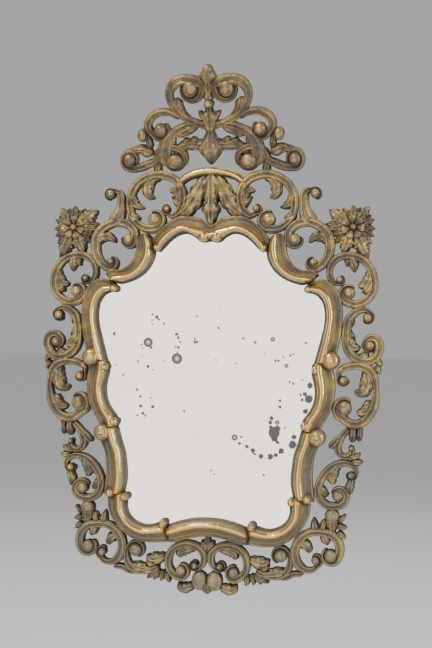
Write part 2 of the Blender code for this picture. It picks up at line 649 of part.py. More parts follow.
def build_crest(parts, cutters):
    carving = collection("crest carving")
    base = band("crest", CREST_MIDDLE[0], LEAF_SECTION, CREST_KNOB_DEPTH, crest_place, parts)
    base.hide_render = False
    base.display_type = "TEXTURED"
    for number, points in enumerate(CREST_MIDDLE[1:]):
        band(f"crest middle {number}", points, LEAF_SECTION, CREST_SCROLL_DEPTH, crest_place, carving)
    knob("crest bead", *CREST_BEAD, CREST_KNOB_DEPTH, crest_place, carving)
    band("crest bar", whole(CREST_BAR), LEAF_SECTION, CREST_LEAF_DEPTH, crest_place, carving)
    for place in (crest_place, other_side(crest_place)):
        for name, points in CREST_SCROLLS.items():
            band(name, points, BAND_SECTION, CREST_SCROLL_DEPTH, place, carving)
        for number, points in enumerate(CREST_LEAVES):
            band(f"crest leaf {number}", points, LEAF_SECTION, CREST_LEAF_DEPTH, place, carving)
        for number, (x, rise, across, up) in enumerate(CREST_KNOBS):
            knob(f"crest eye {number}", x, rise, across, up, CREST_KNOB_DEPTH, place, carving)
    boolean(base, "carved as one", "UNION", group=carving)
    low = crest_place(-LAYOUT_WIDTH, CREST_CUT_START, 0)
    rough_cut = box("rough crest back", (-TOTAL_WIDTH, ROUGH_STOCK, 0), (TOTAL_WIDTH, 4 * OVERCUT, 0.6), cutters)
    rough_cut.location = (0, low[1], low[2])
    rough_cut.rotation_euler = (CREST_LEAN, 0, 0)
    boolean(base, "sawn back", "DIFFERENCE", as_cutter(rough_cut))
    fewer_facets(base, CREST_FACETS)

    back_cut = box("crest back", (-TOTAL_WIDTH, 0, 0), (TOTAL_WIDTH, 4 * OVERCUT, 0.6), cutters)
    back_cut.location = (0, low[1], low[2])
    back_cut.rotation_euler = (CREST_LEAN, 0, 0)
    boolean(base, "flat back", "DIFFERENCE", as_cutter(back_cut), solver="MANIFOLD")
    _, back, seat = frame_place(0, CREST_SEAT, 0)
    arch_reach = (ARCH[0][2] + ARCH[2][0]) * ACROSS
    _, _, arch_top = frame_place(0, ARCH[0][1] + ARCH[0][2], 0)
    feet = [x * ACROSS for x in CREST_FEET_REACH]
    for low_x, high_x, top in ((feet[0], feet[1], seat), (-feet[1], -feet[0], seat),
                               (-arch_reach, arch_reach, arch_top)):
        room = box("room for the frame", (low_x, back - CREST_REACH, seat - ROOM_BELOW),
                   (high_x, back + ROOM_BELOW, top + TOUCH_GAP), cutters)
        boolean(base, "clear of the frame", "DIFFERENCE", as_cutter(room), solver="MANIFOLD")
    plain_flats(base, radians(0.5))
    material(base, (0.36, 0.25, 0.14), 0.5, 0.5)
    return base


def build_glass(parts):
    front = BACKBOARD_INSET + BACKBOARD_THICKNESS + TOUCH_GAP + GLASS_THICKNESS
    glass = plate_from_outline("mirror_glass", LIP_COVER - FIT_CLEARANCE, front, front - GLASS_THICKNESS, parts)
    material(glass, (0.85, 0.84, 0.82), 0.06, 1.0)
    return glass


def build_backboard(parts):
    front = BACKBOARD_INSET + BACKBOARD_THICKNESS
    board = plate_from_outline("backboard", LIP_COVER - FIT_CLEARANCE, front, BACKBOARD_INSET, parts)
    material(board, (0.30, 0.20, 0.11), 0.8)
    return board


def build_hanging_plate(parts, cutters):
    plate = box("hanging_plate", (-PLATE_WIDTH / 2, -PLATE_THICKNESS, -PLATE_HEIGHT / 2),
                (PLATE_WIDTH / 2, 0, PLATE_HEIGHT / 2), parts)
    mesh = bpy.data.meshes.new("hanging hole")
    shape = bmesh.new()
    bmesh.ops.create_cone(shape, cap_ends=True, segments=16, radius1=PLATE_HOLE_RADIUS,
                          radius2=PLATE_HOLE_RADIUS, depth=6 * PLATE_THICKNESS)
    shape.to_mesh(mesh)
    shape.free()
    hole = bpy.data.objects.new("hanging hole", mesh)
    hole.rotation_euler = (pi / 2, 0, 0)
    hole.location = (0, 0, PLATE_HOLE_RISE)
    cutters.objects.link(hole)
    boolean(plate, "hole for the wall hook", "DIFFERENCE", as_cutter(hole))
    material(plate, (0.10, 0.09, 0.08), 0.6, 0.8)
    return plate


def main():
    clear_scene()
    parts = collection("wall mirror")
    cutters = collection("cutters")
    rebate = build_rebate(cutters)
    build_glass(parts)
    build_backboard(parts)
    build_hanging_plate(parts, cutters)
    build_frame(rebate, parts, cutters)
    build_crest(parts, cutters)


main()
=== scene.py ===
import bpy
import bmesh
import json
import numpy as np
from math import atan2, cos, hypot, pi, radians, sin
from mathutils import Matrix, Vector, kdtree

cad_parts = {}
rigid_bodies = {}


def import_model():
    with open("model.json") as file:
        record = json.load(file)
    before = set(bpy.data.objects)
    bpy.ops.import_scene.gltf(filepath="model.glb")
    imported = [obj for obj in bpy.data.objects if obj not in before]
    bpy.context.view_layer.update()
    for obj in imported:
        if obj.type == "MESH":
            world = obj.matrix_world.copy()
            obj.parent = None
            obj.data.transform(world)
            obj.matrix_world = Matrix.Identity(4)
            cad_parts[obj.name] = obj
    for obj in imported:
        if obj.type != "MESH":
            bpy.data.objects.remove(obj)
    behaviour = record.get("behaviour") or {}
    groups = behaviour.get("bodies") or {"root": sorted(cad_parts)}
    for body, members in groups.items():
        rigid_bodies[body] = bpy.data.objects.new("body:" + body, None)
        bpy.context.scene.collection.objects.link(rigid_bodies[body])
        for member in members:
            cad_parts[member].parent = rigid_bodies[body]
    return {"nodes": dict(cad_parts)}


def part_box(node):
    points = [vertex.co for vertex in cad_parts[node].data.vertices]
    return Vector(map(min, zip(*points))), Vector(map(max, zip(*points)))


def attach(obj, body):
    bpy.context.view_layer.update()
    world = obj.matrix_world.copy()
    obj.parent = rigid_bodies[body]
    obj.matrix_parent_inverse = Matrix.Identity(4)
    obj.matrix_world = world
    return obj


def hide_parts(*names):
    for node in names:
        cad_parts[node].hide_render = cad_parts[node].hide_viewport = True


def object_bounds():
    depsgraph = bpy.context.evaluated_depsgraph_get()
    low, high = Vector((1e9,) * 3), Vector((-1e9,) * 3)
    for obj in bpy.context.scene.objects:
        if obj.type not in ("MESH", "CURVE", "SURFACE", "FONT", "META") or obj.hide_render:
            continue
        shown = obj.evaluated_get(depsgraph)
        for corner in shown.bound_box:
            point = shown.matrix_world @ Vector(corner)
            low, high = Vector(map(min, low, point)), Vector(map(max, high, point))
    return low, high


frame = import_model()
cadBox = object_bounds()  # bounds of the loaded model
print("frame loaded:", sorted(frame["nodes"]))

# The carving is laid out on the right half, in thousandths of the mirror's height:
# x outwards from the middle, z up from the lowest leaf, then a half-width.
unit = 0.001
hangingLevel = 760.0  # layout height of the origin
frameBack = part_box("frame")[1][1]  # plane of the frame's flat back
seatLevel = 801.0  # level joint between frame and cresting
crestLean = radians(20)
crestBack = 3.0  # how far the cresting's foot stands in front of the frame's back
crestHinge = 6.8  # height above the joint from which the cresting leans
jointGap = 0.0003
seatReach = (0.093, 0.121)  # metres from the middle: where the cresting's feet stand on the frame
footReach = (0.086, 0.124)  # the cresting is cut level a little beyond its feet
pastWood = 0.01  # how far a cutter reaches past the wood that it cuts
seatCut = 0.02  # how high the frame is cleared above the joint
crestRoom = {"front": -0.12, "back": 0.04, "drop": 0.04}  # what is cut off the cresting's underside

# Each piece of the moulding: its edge at the glass, then its outer edge
mouldingEdges = {
    "crown": (
        [(0, 667), (12, 665), (21, 667), (29, 674), (43, 681), (58, 679), (73, 670), (85, 658), (96, 647)],
        [(0, 698), (20, 711), (40, 715.5), (58, 715.5), (74, 709), (89, 697), (103, 684), (111, 668),
         (103, 648)],
    ),
    "shoulder": (
        [(120, 682), (108, 668), (105, 650), (108, 632), (120, 612), (137, 598), (155, 590), (172, 586),
         (187, 589)],
        [(134, 682), (142, 668), (143, 652), (148, 636), (157, 624), (168, 616), (180, 614), (192, 615),
         (204, 606)],
    ),
    "upper side": (
        [(176, 573), (195, 569), (205, 562), (212, 550), (215, 532), (214, 512), (209, 490), (203, 467),
         (195, 438)],
        [(178, 584), (195, 594), (213, 597), (228, 590), (241, 573), (248, 545), (248, 520), (245, 490),
         (234, 438)],
    ),
    "waist": (
        [(193, 442), (192, 420), (196, 403), (198, 386), (195, 366), (187, 350), (177, 336), (172, 315)],
        [(228, 444), (233, 425), (236, 405), (236, 385), (232, 365), (226, 347), (216, 330), (206, 309)],
    ),
    "lower side": (
        [(174, 318), (167, 291), (160, 270), (157, 250), (155, 228), (156, 210), (161, 187)],
        [(216, 314), (207, 286), (200, 268), (197, 248), (196, 228), (198, 208), (200, 184)],
    ),
    "lower corner": (
        [(153, 192), (154, 175), (154, 163), (150, 151), (140, 140), (125, 133), (110, 132), (96, 136),
         (80, 141)],
        [(193, 192), (192, 165), (188, 150), (178, 133), (162, 116), (146, 105), (128, 99), (104, 98),
         (74, 100)],
    ),
    "bottom arch": (
        [(0, 148.5), (25, 147), (45, 143), (62, 138), (80, 131)],
        [(0, 113), (22, 111), (42, 106), (58, 101), (76, 99)],
    ),
}
acrossMiddle = ("crown", "bottom arch")
# Stretches of those edges that the rebate follows
rebateRuns = {
    "crown": (0.10, 0.74),
    "shoulder": (0.36, 0.86),
    "upper side": (0.16, 0.92),
    "waist": (0.12, 0.86),
    "lower side": (0.10, 0.92),
    "lower corner": (0.14, 0.86),
    "bottom arch": (0.88, 0.04),
}
rebateCover = 9.0  # how far the moulding laps over the glass
# Round ends of the rolls: x, z, radius
rollBeads = [
    (12, 676, 10.5), (101, 655, 7), (184, 578, 7.5), (228, 447, 17), (201, 429, 8), (181, 325, 8.5),
    (204, 304, 16.5), (187, 190, 9), (158, 183, 8), (84, 135, 8.5),
]
# Bands of the scrollwork
scrolls = {
    "ring over the shoulder": [
        (84, 720, 4.5), (72, 716, 6.5), (60, 726, 8), (53.5, 745, 8), (56, 766, 8), (70, 784, 8.5),
        (88, 792, 8.5), (105, 794, 8.5), (125, 789, 8.5), (143, 777, 8.5), (154, 758, 8.5), (157, 738, 8),
        (153, 716, 7.5), (142, 701, 7.5), (127, 692, 8), (112, 691, 9)],
    "stalk": [
        (190, 764, 5.5), (180, 762, 6.5), (175, 752, 9), (175, 738, 9), (177, 724, 12.5), (183, 711, 15.5),
        (198, 700, 10)],
    "hook round the shoulder": [
        (182, 705, 9), (195, 701, 9), (209, 693, 9.5), (220, 679, 10), (223.5, 661, 10), (221, 642, 9.5),
        (212, 627, 9), (199, 617, 8)],
    "curl over the shoulder": [(186, 704, 9), (168, 702, 9), (155, 695, 9), (147, 684, 9), (147, 672, 9)],
    "ring under the flower": [
        (238, 590, 4.5), (230, 592, 5.5), (223.5, 603, 6.5), (223.5, 618, 6.5), (232, 633, 7.5),
        (248, 641, 7.5), (266, 641, 7.5), (284, 634, 7.5), (297, 620, 8), (304, 602, 8), (305, 582, 8),
        (298, 566, 8), (285, 555, 8), (270, 551, 8), (257, 555, 9)],
    "long curl of the side": [
        (298, 537, 4.5), (286, 541, 6), (271, 536, 8), (260, 523, 9), (256, 506, 9), (255, 488, 9),
        (258, 470, 9), (268, 456, 9), (284, 448, 8.5), (300, 448, 8.5), (311, 457, 9), (316, 472, 9),
        (312, 486, 9), (301, 490, 8), (292, 485, 6.5)],
    "great curl of the side": [
        (243, 416, 4.5), (243, 427, 5.5), (252, 434, 6.5), (266, 438, 7.5), (282, 438, 8), (297, 432, 9),
        (307, 418, 8), (311, 400, 5.5), (311, 384, 6.5), (308, 366, 9), (301, 350, 9), (291, 337, 9),
        (277, 330, 9), (262, 332, 9), (250, 341, 9)],
    "small curl of the side": [
        (264, 323, 5.5), (251, 309, 6.5), (244, 295, 7.5), (242, 283, 7.5), (248, 272, 6), (259, 270, 6),
        (267, 276, 6.5), (268, 286, 5.5)],
    "strap to the moulding": [(254, 313, 4.5), (239, 298, 6.5), (226, 285, 6.5)],
    "curl of the lower side": [
        (276, 236, 4.5), (276, 246, 5), (269, 254, 6), (256, 258, 6.5), (240, 254, 8), (224, 243, 8),
        (212, 226, 8), (207, 208, 8), (211, 190, 8), (224, 179, 8), (240, 178, 8), (253, 184, 9)],
    "ring of the corner": [
        (206, 65, 5.5), (199, 58, 5.5), (185, 57, 6.5), (172, 66, 9), (165, 82, 9), (166, 100, 9),
        (176, 117, 9), (192, 127, 8), (212, 129, 8), (232, 125, 8.5), (245, 112, 9), (248, 95, 9),
        (243, 80, 9)],
    "curl under the corner": [
        (150, 92, 4.5), (156, 80, 5.5), (156, 66, 6.5), (151, 54, 7.5), (141, 45, 8), (126, 42, 6.5),
        (108, 44, 6.5), (92, 52, 6.5)],
    "tail under the corner": [(181, 49, 4.5), (164, 49, 5.5), (150, 42, 5.5), (136, 39, 3)],
    "ring of the foot": [
        (30, 49, 3), (18, 51, 5.5), (8, 62, 6.5), (7, 78, 7.5), (17, 91, 7.5), (36, 97, 7.5), (56, 93, 7.5),
        (70, 81, 7.5), (75, 65, 7.5), (73, 50, 7.5), (64, 39, 8), (52, 34, 8)],
}
# Leaves and lobes, from root to tip
leaves = [
    [(98, 789, 5), (115, 783, 10), (123, 769, 12.5), (120, 755, 9), (109, 750, 2)],
    [(152, 768, 3), (152, 750, 9), (146, 737, 10), (129, 731, 2)],
    [(158, 724, 6), (150, 713, 10), (137, 712, 7.5)],
    [(57, 738, 5), (62, 752, 9), (71, 763, 7.5), (82, 763, 5)],
    [(60, 730, 5), (66, 742, 7.5), (77, 753, 2)],
    [(220, 662, 6), (212, 674, 10), (200, 677, 10), (191, 673, 7.5), (184, 665, 2)],
    [(256, 637, 5), (265, 632, 11), (268, 621, 9), (269, 610, 1.5)],
    [(252, 638, 5), (256, 629, 6), (253, 621, 2)],
    [(297, 616, 6), (295, 600, 10), (288, 588, 11), (275, 587, 5)],
    [(299, 594, 7.5), (292, 579, 9), (283, 573, 5)],
    [(262, 536, 5), (264, 523, 7.5), (266, 509, 3)],
    [(254, 500, 6), (259, 484, 12.5), (268, 472, 12.5), (282, 472, 5)],
    [(256, 508, 6), (262, 496, 7.5), (272, 489, 2)],
    [(276, 450, 6), (288, 455, 10), (297, 461, 6)],
    [(291, 432, 7.5), (294, 413, 12.5), (291, 396, 14), (283, 388, 10), (271, 391, 5)],
    [(305, 376, 6), (300, 364, 11), (290, 353, 12.5), (275, 352, 6)],
    [(302, 374, 6), (294, 367, 7.5), (287, 365, 3)],
    [(308, 438, 7.5), (315, 431, 6), (317, 422, 2)],
    [(308, 452, 7.5), (317, 444, 6), (320, 436, 2)],
    [(282, 328, 6), (282, 312, 6), (281, 298, 5)],
    [(270, 328, 6), (270, 312, 9), (268, 296, 6)],
    [(246, 256, 6), (236, 244, 11), (232, 230, 11), (237, 218, 5)],
    [(207, 224, 5), (212, 208, 10), (221, 200, 7.5), (227, 199, 3)],
    [(270, 232, 6), (265, 214, 9), (267, 200, 3)],
    [(266, 262, 6), (279, 260, 7.5), (289, 261, 2)],
    [(262, 268, 6), (276, 271, 6), (284, 277, 2)],
    [(233, 170, 14), (233, 152, 14), (234, 138, 11), (236, 128, 5)],
    [(243, 150, 6), (253, 157, 5), (258, 163, 2)],
    [(242, 142, 7.5), (253, 139, 6), (261, 138, 2)],
    [(242, 128, 7.5), (252, 124, 6), (258, 117, 2)],
    [(204, 132, 11), (201, 142, 9), (199, 156, 1.5)],
    [(222, 152, 6), (217, 142, 7.5), (217, 132, 6)],
    [(214, 128, 6), (221, 117, 10), (226, 105, 5)],
    [(169, 110, 7.5), (182, 106, 11), (190, 97, 9), (191, 88, 3)],
    [(150, 52, 7.5), (133, 49, 12.5), (115, 46, 10), (98, 50, 6)],
    [(79, 75, 7.5), (93, 68, 12.5), (108, 67, 12.5), (118, 73, 3)],
    [(98, 58, 6), (109, 57, 6), (118, 63, 2)],
    [(92, 46, 6), (104, 36, 6), (117, 30, 2.5)],
    [(90, 46, 6), (98, 35, 6), (103, 26, 2.5)],
    [(84, 46, 6), (87, 34, 6), (89, 24, 2.5)],
    [(76, 44, 7.5), (76, 33, 7.5), (72, 22, 3)],
    [(20, 88, 5), (36, 88, 10), (51, 81, 11), (52, 70, 6)],
    [(0, 86, 5), (7, 97, 7.5), (12, 105, 3)],
    [(24, 20, 7.5), (38, 15, 11), (48, 14, 11), (56, 24, 3)],
]
middleLeaves = [
    [(0, 80, 4.5), (0, 95, 9), (0, 116, 4.5)],
    [(0, 40, 9), (0, 24, 11.5), (0, 11, 10.5), (0, 3, 3)],
]
palmetteSide = [(8, 792, 10), (18, 774, 15), (27, 756, 18), (37, 738, 17), (49, 724, 13), (61, 716, 4)]
palmetteMiddle = [(0, 796, 14), (0, 765, 17), (0, 742, 14), (0, 727, 19), (0, 712, 11), (0, 692, 4)]
archLine = [(0, 799, 8), (18, 797.8, 8), (35, 794, 8), (50, 787.5, 7.5), (62, 777, 7)]
# Round eyes: x, z, radius across, radius up
scrollEyes = [
    (109, 709, 18, 18), (85, 729, 9, 9), (195, 757, 12.5, 12.5), (158, 671, 16, 16), (193, 629, 10.5, 10.5),
    (260, 572, 15.5, 15.5), (242, 597, 9, 9), (293.5, 527, 12, 12), (299, 476, 12.5, 12.5),
    (251, 411, 12, 12), (254, 359, 18, 20), (267, 286, 6.5, 6.5), (243, 197, 15, 15), (267, 236, 9.5, 9.5),
    (233, 160, 14, 13), (231, 86, 17, 17), (203, 76, 11, 11), (138, 82, 17.5, 17.5), (50, 46, 14.5, 15),
    (24, 57, 9, 9), (14, 29, 16, 19),
]
# The cresting, by its own rise above the joint
crestScrolls = {
    "great curl": [
        (6, 68, 7), (20, 73.5, 6.5), (35, 78.5, 7), (48.5, 86, 7.5), (61, 96.5, 8), (70, 109.5, 8),
        (74, 122.5, 8), (71.5, 134.5, 9), (62.5, 145, 10.5), (50, 149.5, 10.5), (38, 149, 11),
        (25, 146, 12), (12, 140, 8)],
    "lesser curl": [
        (57, 82.5, 4), (69.5, 91.5, 6), (83.5, 95, 7), (98, 93.5, 7.5), (109.5, 87, 8), (117, 76.5, 8),
        (116.5, 66, 8), (110, 58, 7)],
    "swept arm": [
        (4, 74, 7), (18, 73.5, 6.5), (34, 72.5, 7), (48.5, 69, 7), (63.5, 62, 8.5), (76.5, 52.5, 10.5),
        (84.5, 41, 12.5), (88.5, 28, 14), (88, 14.5, 14), (80, 5, 11)],
    "end curl": [
        (166, 21, 6), (169.5, 8.5, 7), (164, -2.5, 7.5), (152, -5, 7.5), (136, -3, 8), (122.5, 2, 8),
        (108, 9, 7)],
}
crestLeaves = [
    [(36, 80, 5), (49.5, 90, 8), (57.5, 101.5, 11), (60, 112, 12), (59.5, 119, 12)],
    [(22, 70.5, 4), (33, 66, 8), (45, 61.5, 9.5), (55, 56.5, 8), (62, 50, 4)],
    [(72, 52, 8), (72, 41, 6.5), (70, 32.5, 3)],
    [(123, 59.5, 5), (118.5, 48.5, 6.5), (116.5, 38.5, 7), (111.5, 31.5, 5)],
    [(160.5, 23, 6), (146, 27.5, 7), (132, 28.5, 10), (120.5, 24.5, 11), (111, 20, 8)],
    [(25, 39.5, 8), (32, 46, 6), (37.5, 48.5, 2.5)],
    [(39.5, 38.5, 8), (47.5, 44, 6), (53.5, 44.5, 2.5)],
    [(13, 41.5, 8), (19, 44.5, 4)],
    [(8, 82, 7), (15, 90, 6), (21, 95.5, 3)],
    [(100, 30, 6), (104, 15, 8), (104, 1, 8.5), (103, -20, 9)],
]
crestMiddle = [
    [(0, 112, 10.5), (0, 117, 11), (0, 124, 8.5), (0, 136, 8), (0, 146, 10.5), (0, 153, 16), (0, 159, 18),
     (0, 164, 13.5), (0, 168, 10), (0, 172, 6)],
    [(0, 88, 8), (0, 101.5, 7.5), (0, 114, 8)],
    [(0, 56, 9), (0, 66, 12), (0, 78, 14.5), (0, 87, 19), (0, 93, 22), (0, 97.5, 19)],
    [(0, 62.5, 11), (0, 52.5, 12), (0, 41.5, 18), (0, 28, 23.5), (0, 13.5, 14), (0, 0.5, 2.5)],
]
crestBar = [(0, 33.5, 14), (24, 36, 11), (38.5, 37, 11), (52, 34.5, 9.5), (63, 29, 8.5), (72, 20, 8)]
crestBead = (0, 108, 10, 8)
crestEyes = [
    (34, 134.5, 19.5, 20.5), (94, 63.5, 17, 16.5), (129, 54.5, 10, 12), (157, 10.5, 16.5, 17),
    (70, 8, 22.5, 18.5),
]


class Port:
    # One output of a shader node, used in plain arithmetic
    def __init__(self, tree, socket):
        self.tree = tree
        self.socket = socket

    def math(self, operation, other=None, swap=False):
        node = self.tree.nodes.new("ShaderNodeMath")
        node.operation = operation
        values = [self, other] if not swap else [other, self]
        for place, value in zip(node.inputs, values):
            if isinstance(value, Port):
                self.tree.links.new(value.socket, place)
            elif value is not None:
                place.default_value = value
        return Port(self.tree, node.outputs[0])

    def __add__(self, other): return self.math("ADD", other)
    def __radd__(self, other): return self.math("ADD", other)
    def __sub__(self, other): return self.math("SUBTRACT", other)
    def __rsub__(self, other): return self.math("SUBTRACT", other, swap=True)
    def __mul__(self, other): return self.math("MULTIPLY", other)
    def __rmul__(self, other): return self.math("MULTIPLY", other)
    def __truediv__(self, other): return self.math("DIVIDE", other)
    def atLeast(self, other): return self.math("MAXIMUM", other)
    def atMost(self, other): return self.math("MINIMUM", other)
    def size(self): return self.math("ABSOLUTE")


def addNode(tree, kind, settings=None, inputs=None, output=0):
    # Adds one node to a tree, with its settings and what goes into it; returns one of its outputs
    made = tree.nodes.new(kind)
    for key, value in (settings or {}).items():
        setattr(made, key, value)
    for key, value in (inputs or {}).items():
        if isinstance(value, Port):
            tree.links.new(value.socket, made.inputs[key])
        else:
            made.inputs[key].default_value = value
    return Port(tree, made.outputs[output]) if made.outputs else None


class Finish:
    # A material under construction
    def __init__(self, name):
        self.material = bpy.data.materials.new(name)
        self.material.use_nodes = True
        self.tree = self.material.node_tree
        self.shader = self.tree.nodes["Principled BSDF"]
        coordinates = self.tree.nodes.new("ShaderNodeTexCoord")
        self.place = Port(self.tree, coordinates.outputs["Object"])

    def node(self, kind, settings=None, inputs=None, output=0):
        return addNode(self.tree, kind, settings, inputs, output)

    def noise(self, scale, detail=3.0, roughness=0.55, place=None, distortion=0.0):
        return self.node("ShaderNodeTexNoise", inputs={
            "Vector": place or self.place, "Scale": scale, "Detail": detail, "Roughness": roughness,
            "Distortion": distortion})

    def attribute(self, name):
        return self.node("ShaderNodeAttribute", {"attribute_name": name}, output=2)

    def step(self, value, low, high):  # 0 below low, 1 above high, smooth between
        return self.node("ShaderNodeMapRange", {"interpolation_type": "SMOOTHSTEP"},
                         {"Value": value, "From Min": low, "From Max": high})

    def blend(self, share, under, over):
        return self.node("ShaderNodeMix", {"data_type": "RGBA"}, {0: share, 6: under, 7: over}, output=2)

    def bump(self, height, strength, distance, under=None):
        inputs = {"Height": height, "Strength": strength, "Distance": distance}
        if under is not None:
            inputs["Normal"] = under
        return self.node("ShaderNodeBump", inputs=inputs)

    def feed(self, **sockets):
        for name, value in sockets.items():
            socket = self.shader.inputs[name.replace("_", " ")]
            if isinstance(value, Port):
                self.tree.links.new(value.socket, socket)
            else:
                socket.default_value = value
        return self.material


def colour(red, green, blue):
    return (red, green, blue, 1.0)


def framePlace(x, z, depth):  # layout point, depth in millimetres in front of the frame's flat back
    return np.stack([x * unit, frameBack - depth * unit, (z - hangingLevel) * unit], axis=-1)


def crestPlace(x, rise, depth):  # the same on the cresting, which leans forward from its feet
    up = (rise + crestHinge) / cos(crestLean)
    forward = crestBack + up * sin(crestLean) + depth * cos(crestLean)
    height = up * cos(crestLean) - depth * sin(crestLean) + crestHinge
    rise = seatLevel - hangingLevel + height
    return np.stack([x * unit, frameBack - forward * unit, rise * unit], axis=-1)


def throughKnots(a, b, c, d, t):  # the Catmull-Rom curve between b and c
    bent = 2 * b + (c - a) * t + (2 * a - 5 * b + 4 * c - d) * t * t
    return 0.5 * (bent + (3 * b - a - 3 * c + d) * t ** 3)


def curveThrough(points, step):
    # Smooth curve through the points, cut into even steps; also the distance travelled
    knots = np.array(points, dtype=float)
    padded = np.vstack([knots[:1], knots, knots[-1:]])
    t = np.linspace(0, 1, 24, endpoint=False)[:, None]
    runs = [throughKnots(*four, t) for four in zip(padded, padded[1:], padded[2:], padded[3:])]
    path = np.vstack(runs + [knots[-1:]])
    travel = np.concatenate([[0], np.cumsum(np.hypot(*np.diff(path[:, :2], axis=0).T))])
    count = max(4, int(np.ceil(travel[-1] / step)))
    goal = np.linspace(0, travel[-1], count + 1)
    return np.column_stack([np.interp(goal, travel, column) for column in path.T]), goal


def closedSkin(rings):
    # Points and faces of a closed body through equal rings, each end closed by a fan
    count, across = rings.shape[:2]
    points = np.vstack([rings.reshape(-1, 3), rings[0].mean(axis=0), rings[-1].mean(axis=0)])
    here = np.arange(count * across).reshape(count, across)
    beside = np.roll(here, -1, axis=1)
    faces = np.stack([here[:-1], beside[:-1], beside[1:], here[1:]], axis=-1).reshape(-1, 4).tolist()
    start, end = count * across, count * across + 1
    faces += [[start, b, a] for a, b in zip(here[0], beside[0])]
    faces += [[end, a, b] for a, b in zip(here[-1], beside[-1])]
    return points, faces


def facetVolume(points, faces):
    total = 0.0
    for face in faces:
        origin = points[face[0]]
        for a, b in zip(face[1:], face[2:]):
            total += np.dot(origin, np.cross(points[a], points[b]))
    return total


def placed(name, data):
    # A new object in the scene
    made = bpy.data.objects.new(name, data)
    bpy.context.scene.collection.objects.link(made)
    return made


def meshOf(body):
    # The body's mesh with its modifiers applied
    graph = bpy.context.evaluated_depsgraph_get()
    return bpy.data.meshes.new_from_object(body.evaluated_get(graph))


def makeBody(name, skin, home):
    points, faces = skin
    middle = points.mean(axis=0)
    if facetVolume(points - middle, faces) < 0:
        faces = [face[::-1] for face in faces]
    mesh = bpy.data.meshes.new(name)
    mesh.from_pydata(points.tolist(), [], faces)
    body = bpy.data.objects.new(name, mesh)
    home.objects.link(body)
    return body


def scrollLevel(across, along, half, length):
    # Scroll band: a rounded rib near its outer edge, a shallow channel, and a rounded inner edge
    body = 0.44 + 0.56 * np.sqrt(np.clip(1 - across ** 2, 0, 1)) ** 0.7
    channel = 0.25 * np.exp(-((across + 0.12) / 0.30) ** 2)
    line = 0.12 * np.exp(-((across - 0.64) / 0.10) ** 2)
    return body - channel - line


def rollLevel(across, along, half, length):
    return 0.45 + 0.55 * np.sqrt(np.clip(1 - across ** 2, 0, 1))


def leafLevel(across, along, half, length):
    # Leaf: sunk middle vein and flutes that fan towards its edge
    body = 0.50 + 0.50 * np.sqrt(np.clip(1 - across ** 2, 0, 1)) ** 0.9
    fan = 2 * pi * (2.0 * np.abs(across) - 0.35 * along * length / 9.0)
    flutes = 0.22 * (0.5 + 0.5 * np.cos(fan)) * np.clip(1.3 * np.abs(across), 0, 1)
    vein = 0.15 * np.exp(-(across / 0.11) ** 2)
    return body - flutes - vein


def lobes(along, length, pitch):
    # Scalloped edge: the width swells and nips in once each pitch
    phase = along * length / pitch
    return 0.83 + 0.20 * np.abs(np.sin(pi * phase)) ** 0.55


def teeth(along, length, pitch):
    # Saw-toothed edge, each tooth pointing to the tip
    return 0.72 + 0.28 * (along * length / pitch % 1.0)


def sweep(name, points, depth, level, place, home, step=3.5, scallop=0.0, edge=lobes):
    # A band or leaf swept along a curve, rounded off at both ends, with a slightly narrower foot
    path, travel = curveThrough(points, step)
    length = travel[-1]
    widest = max(point[2] for point in points)
    tangent = np.gradient(path[:, :2], axis=0)
    tangent /= np.hypot(*tangent.T)[:, None]
    side = np.column_stack([-tangent[:, 1], tangent[:, 0]])
    half = path[:, 2].copy()
    along = travel / length
    nearEnd = np.minimum(travel, length - travel)
    rounding = np.sqrt(np.clip(1 - (1 - np.clip(nearEnd / np.maximum(half, 2.0), 0, 1)) ** 2, 0.02, 1))
    tall = depth * (0.62 + 0.38 * half / widest) * (0.72 + 0.28 * rounding)
    if scallop:
        half = half * edge(along, length, scallop)
    half = half * np.maximum(rounding, 0.12)
    across = np.sin(0.5 * pi * np.linspace(-1, 1, 13))
    top = tall[:, None] * level(across[None, :], along[:, None], half[:, None], length)
    across = np.concatenate([across, [0.90, 0.86, -0.86, -0.90]])
    foot = np.zeros((len(path), 4))
    foot[:, 0] = foot[:, 3] = 0.16 * tall
    levels = np.hstack([top, foot])
    x = path[:, :1] + side[:, :1] * half[:, None] * across
    z = path[:, 1:2] + side[:, 1:] * half[:, None] * across
    return makeBody(name, closedSkin(place(x, z, levels)), home)


def windIn(points, eyes):
    # Carries a band on round the eye that it ends at, narrower as it winds in
    points = list(points)
    for _ in range(2):
        (x0, z0, _), (x1, z1, half) = points[-2:]
        reach, (cx, cz, wide, tall) = nearestEye(x1, z1, eyes)
        if reach < windReach * max(wide, tall):
            start = atan2(z1 - cz, x1 - cx)
            way = 1 if (x1 - cx) * (z1 - z0) > (z1 - cz) * (x1 - x0) else -1
            for step in range(1, 7):
                turn = start + way * step * radians(36)
                r = reach + (0.76 * wide - reach) * step / 6
                points.append((cx + r * cos(turn), cz + r * sin(turn) * tall / wide,
                               half + (0.22 * wide - half) * step / 6))
        points.reverse()
    return points


windReach = 1.75  # a band winds in where it ends within this many radii of an eye


def nearestEye(x, z, eyes):
    return min((hypot(x - eye[0], z - eye[1]), eye) for eye in eyes)


def eyeShare(eye, bands, eyes):
    # The ball in the middle of an eye is smaller where a band winds round it
    for points in bands:
        for end in (0, -1):
            reach, nearest = nearestEye(*points[end][:2], eyes)
            if nearest == eye and reach < windReach * max(eye[2:]):
                return 0.72
    return 1.0


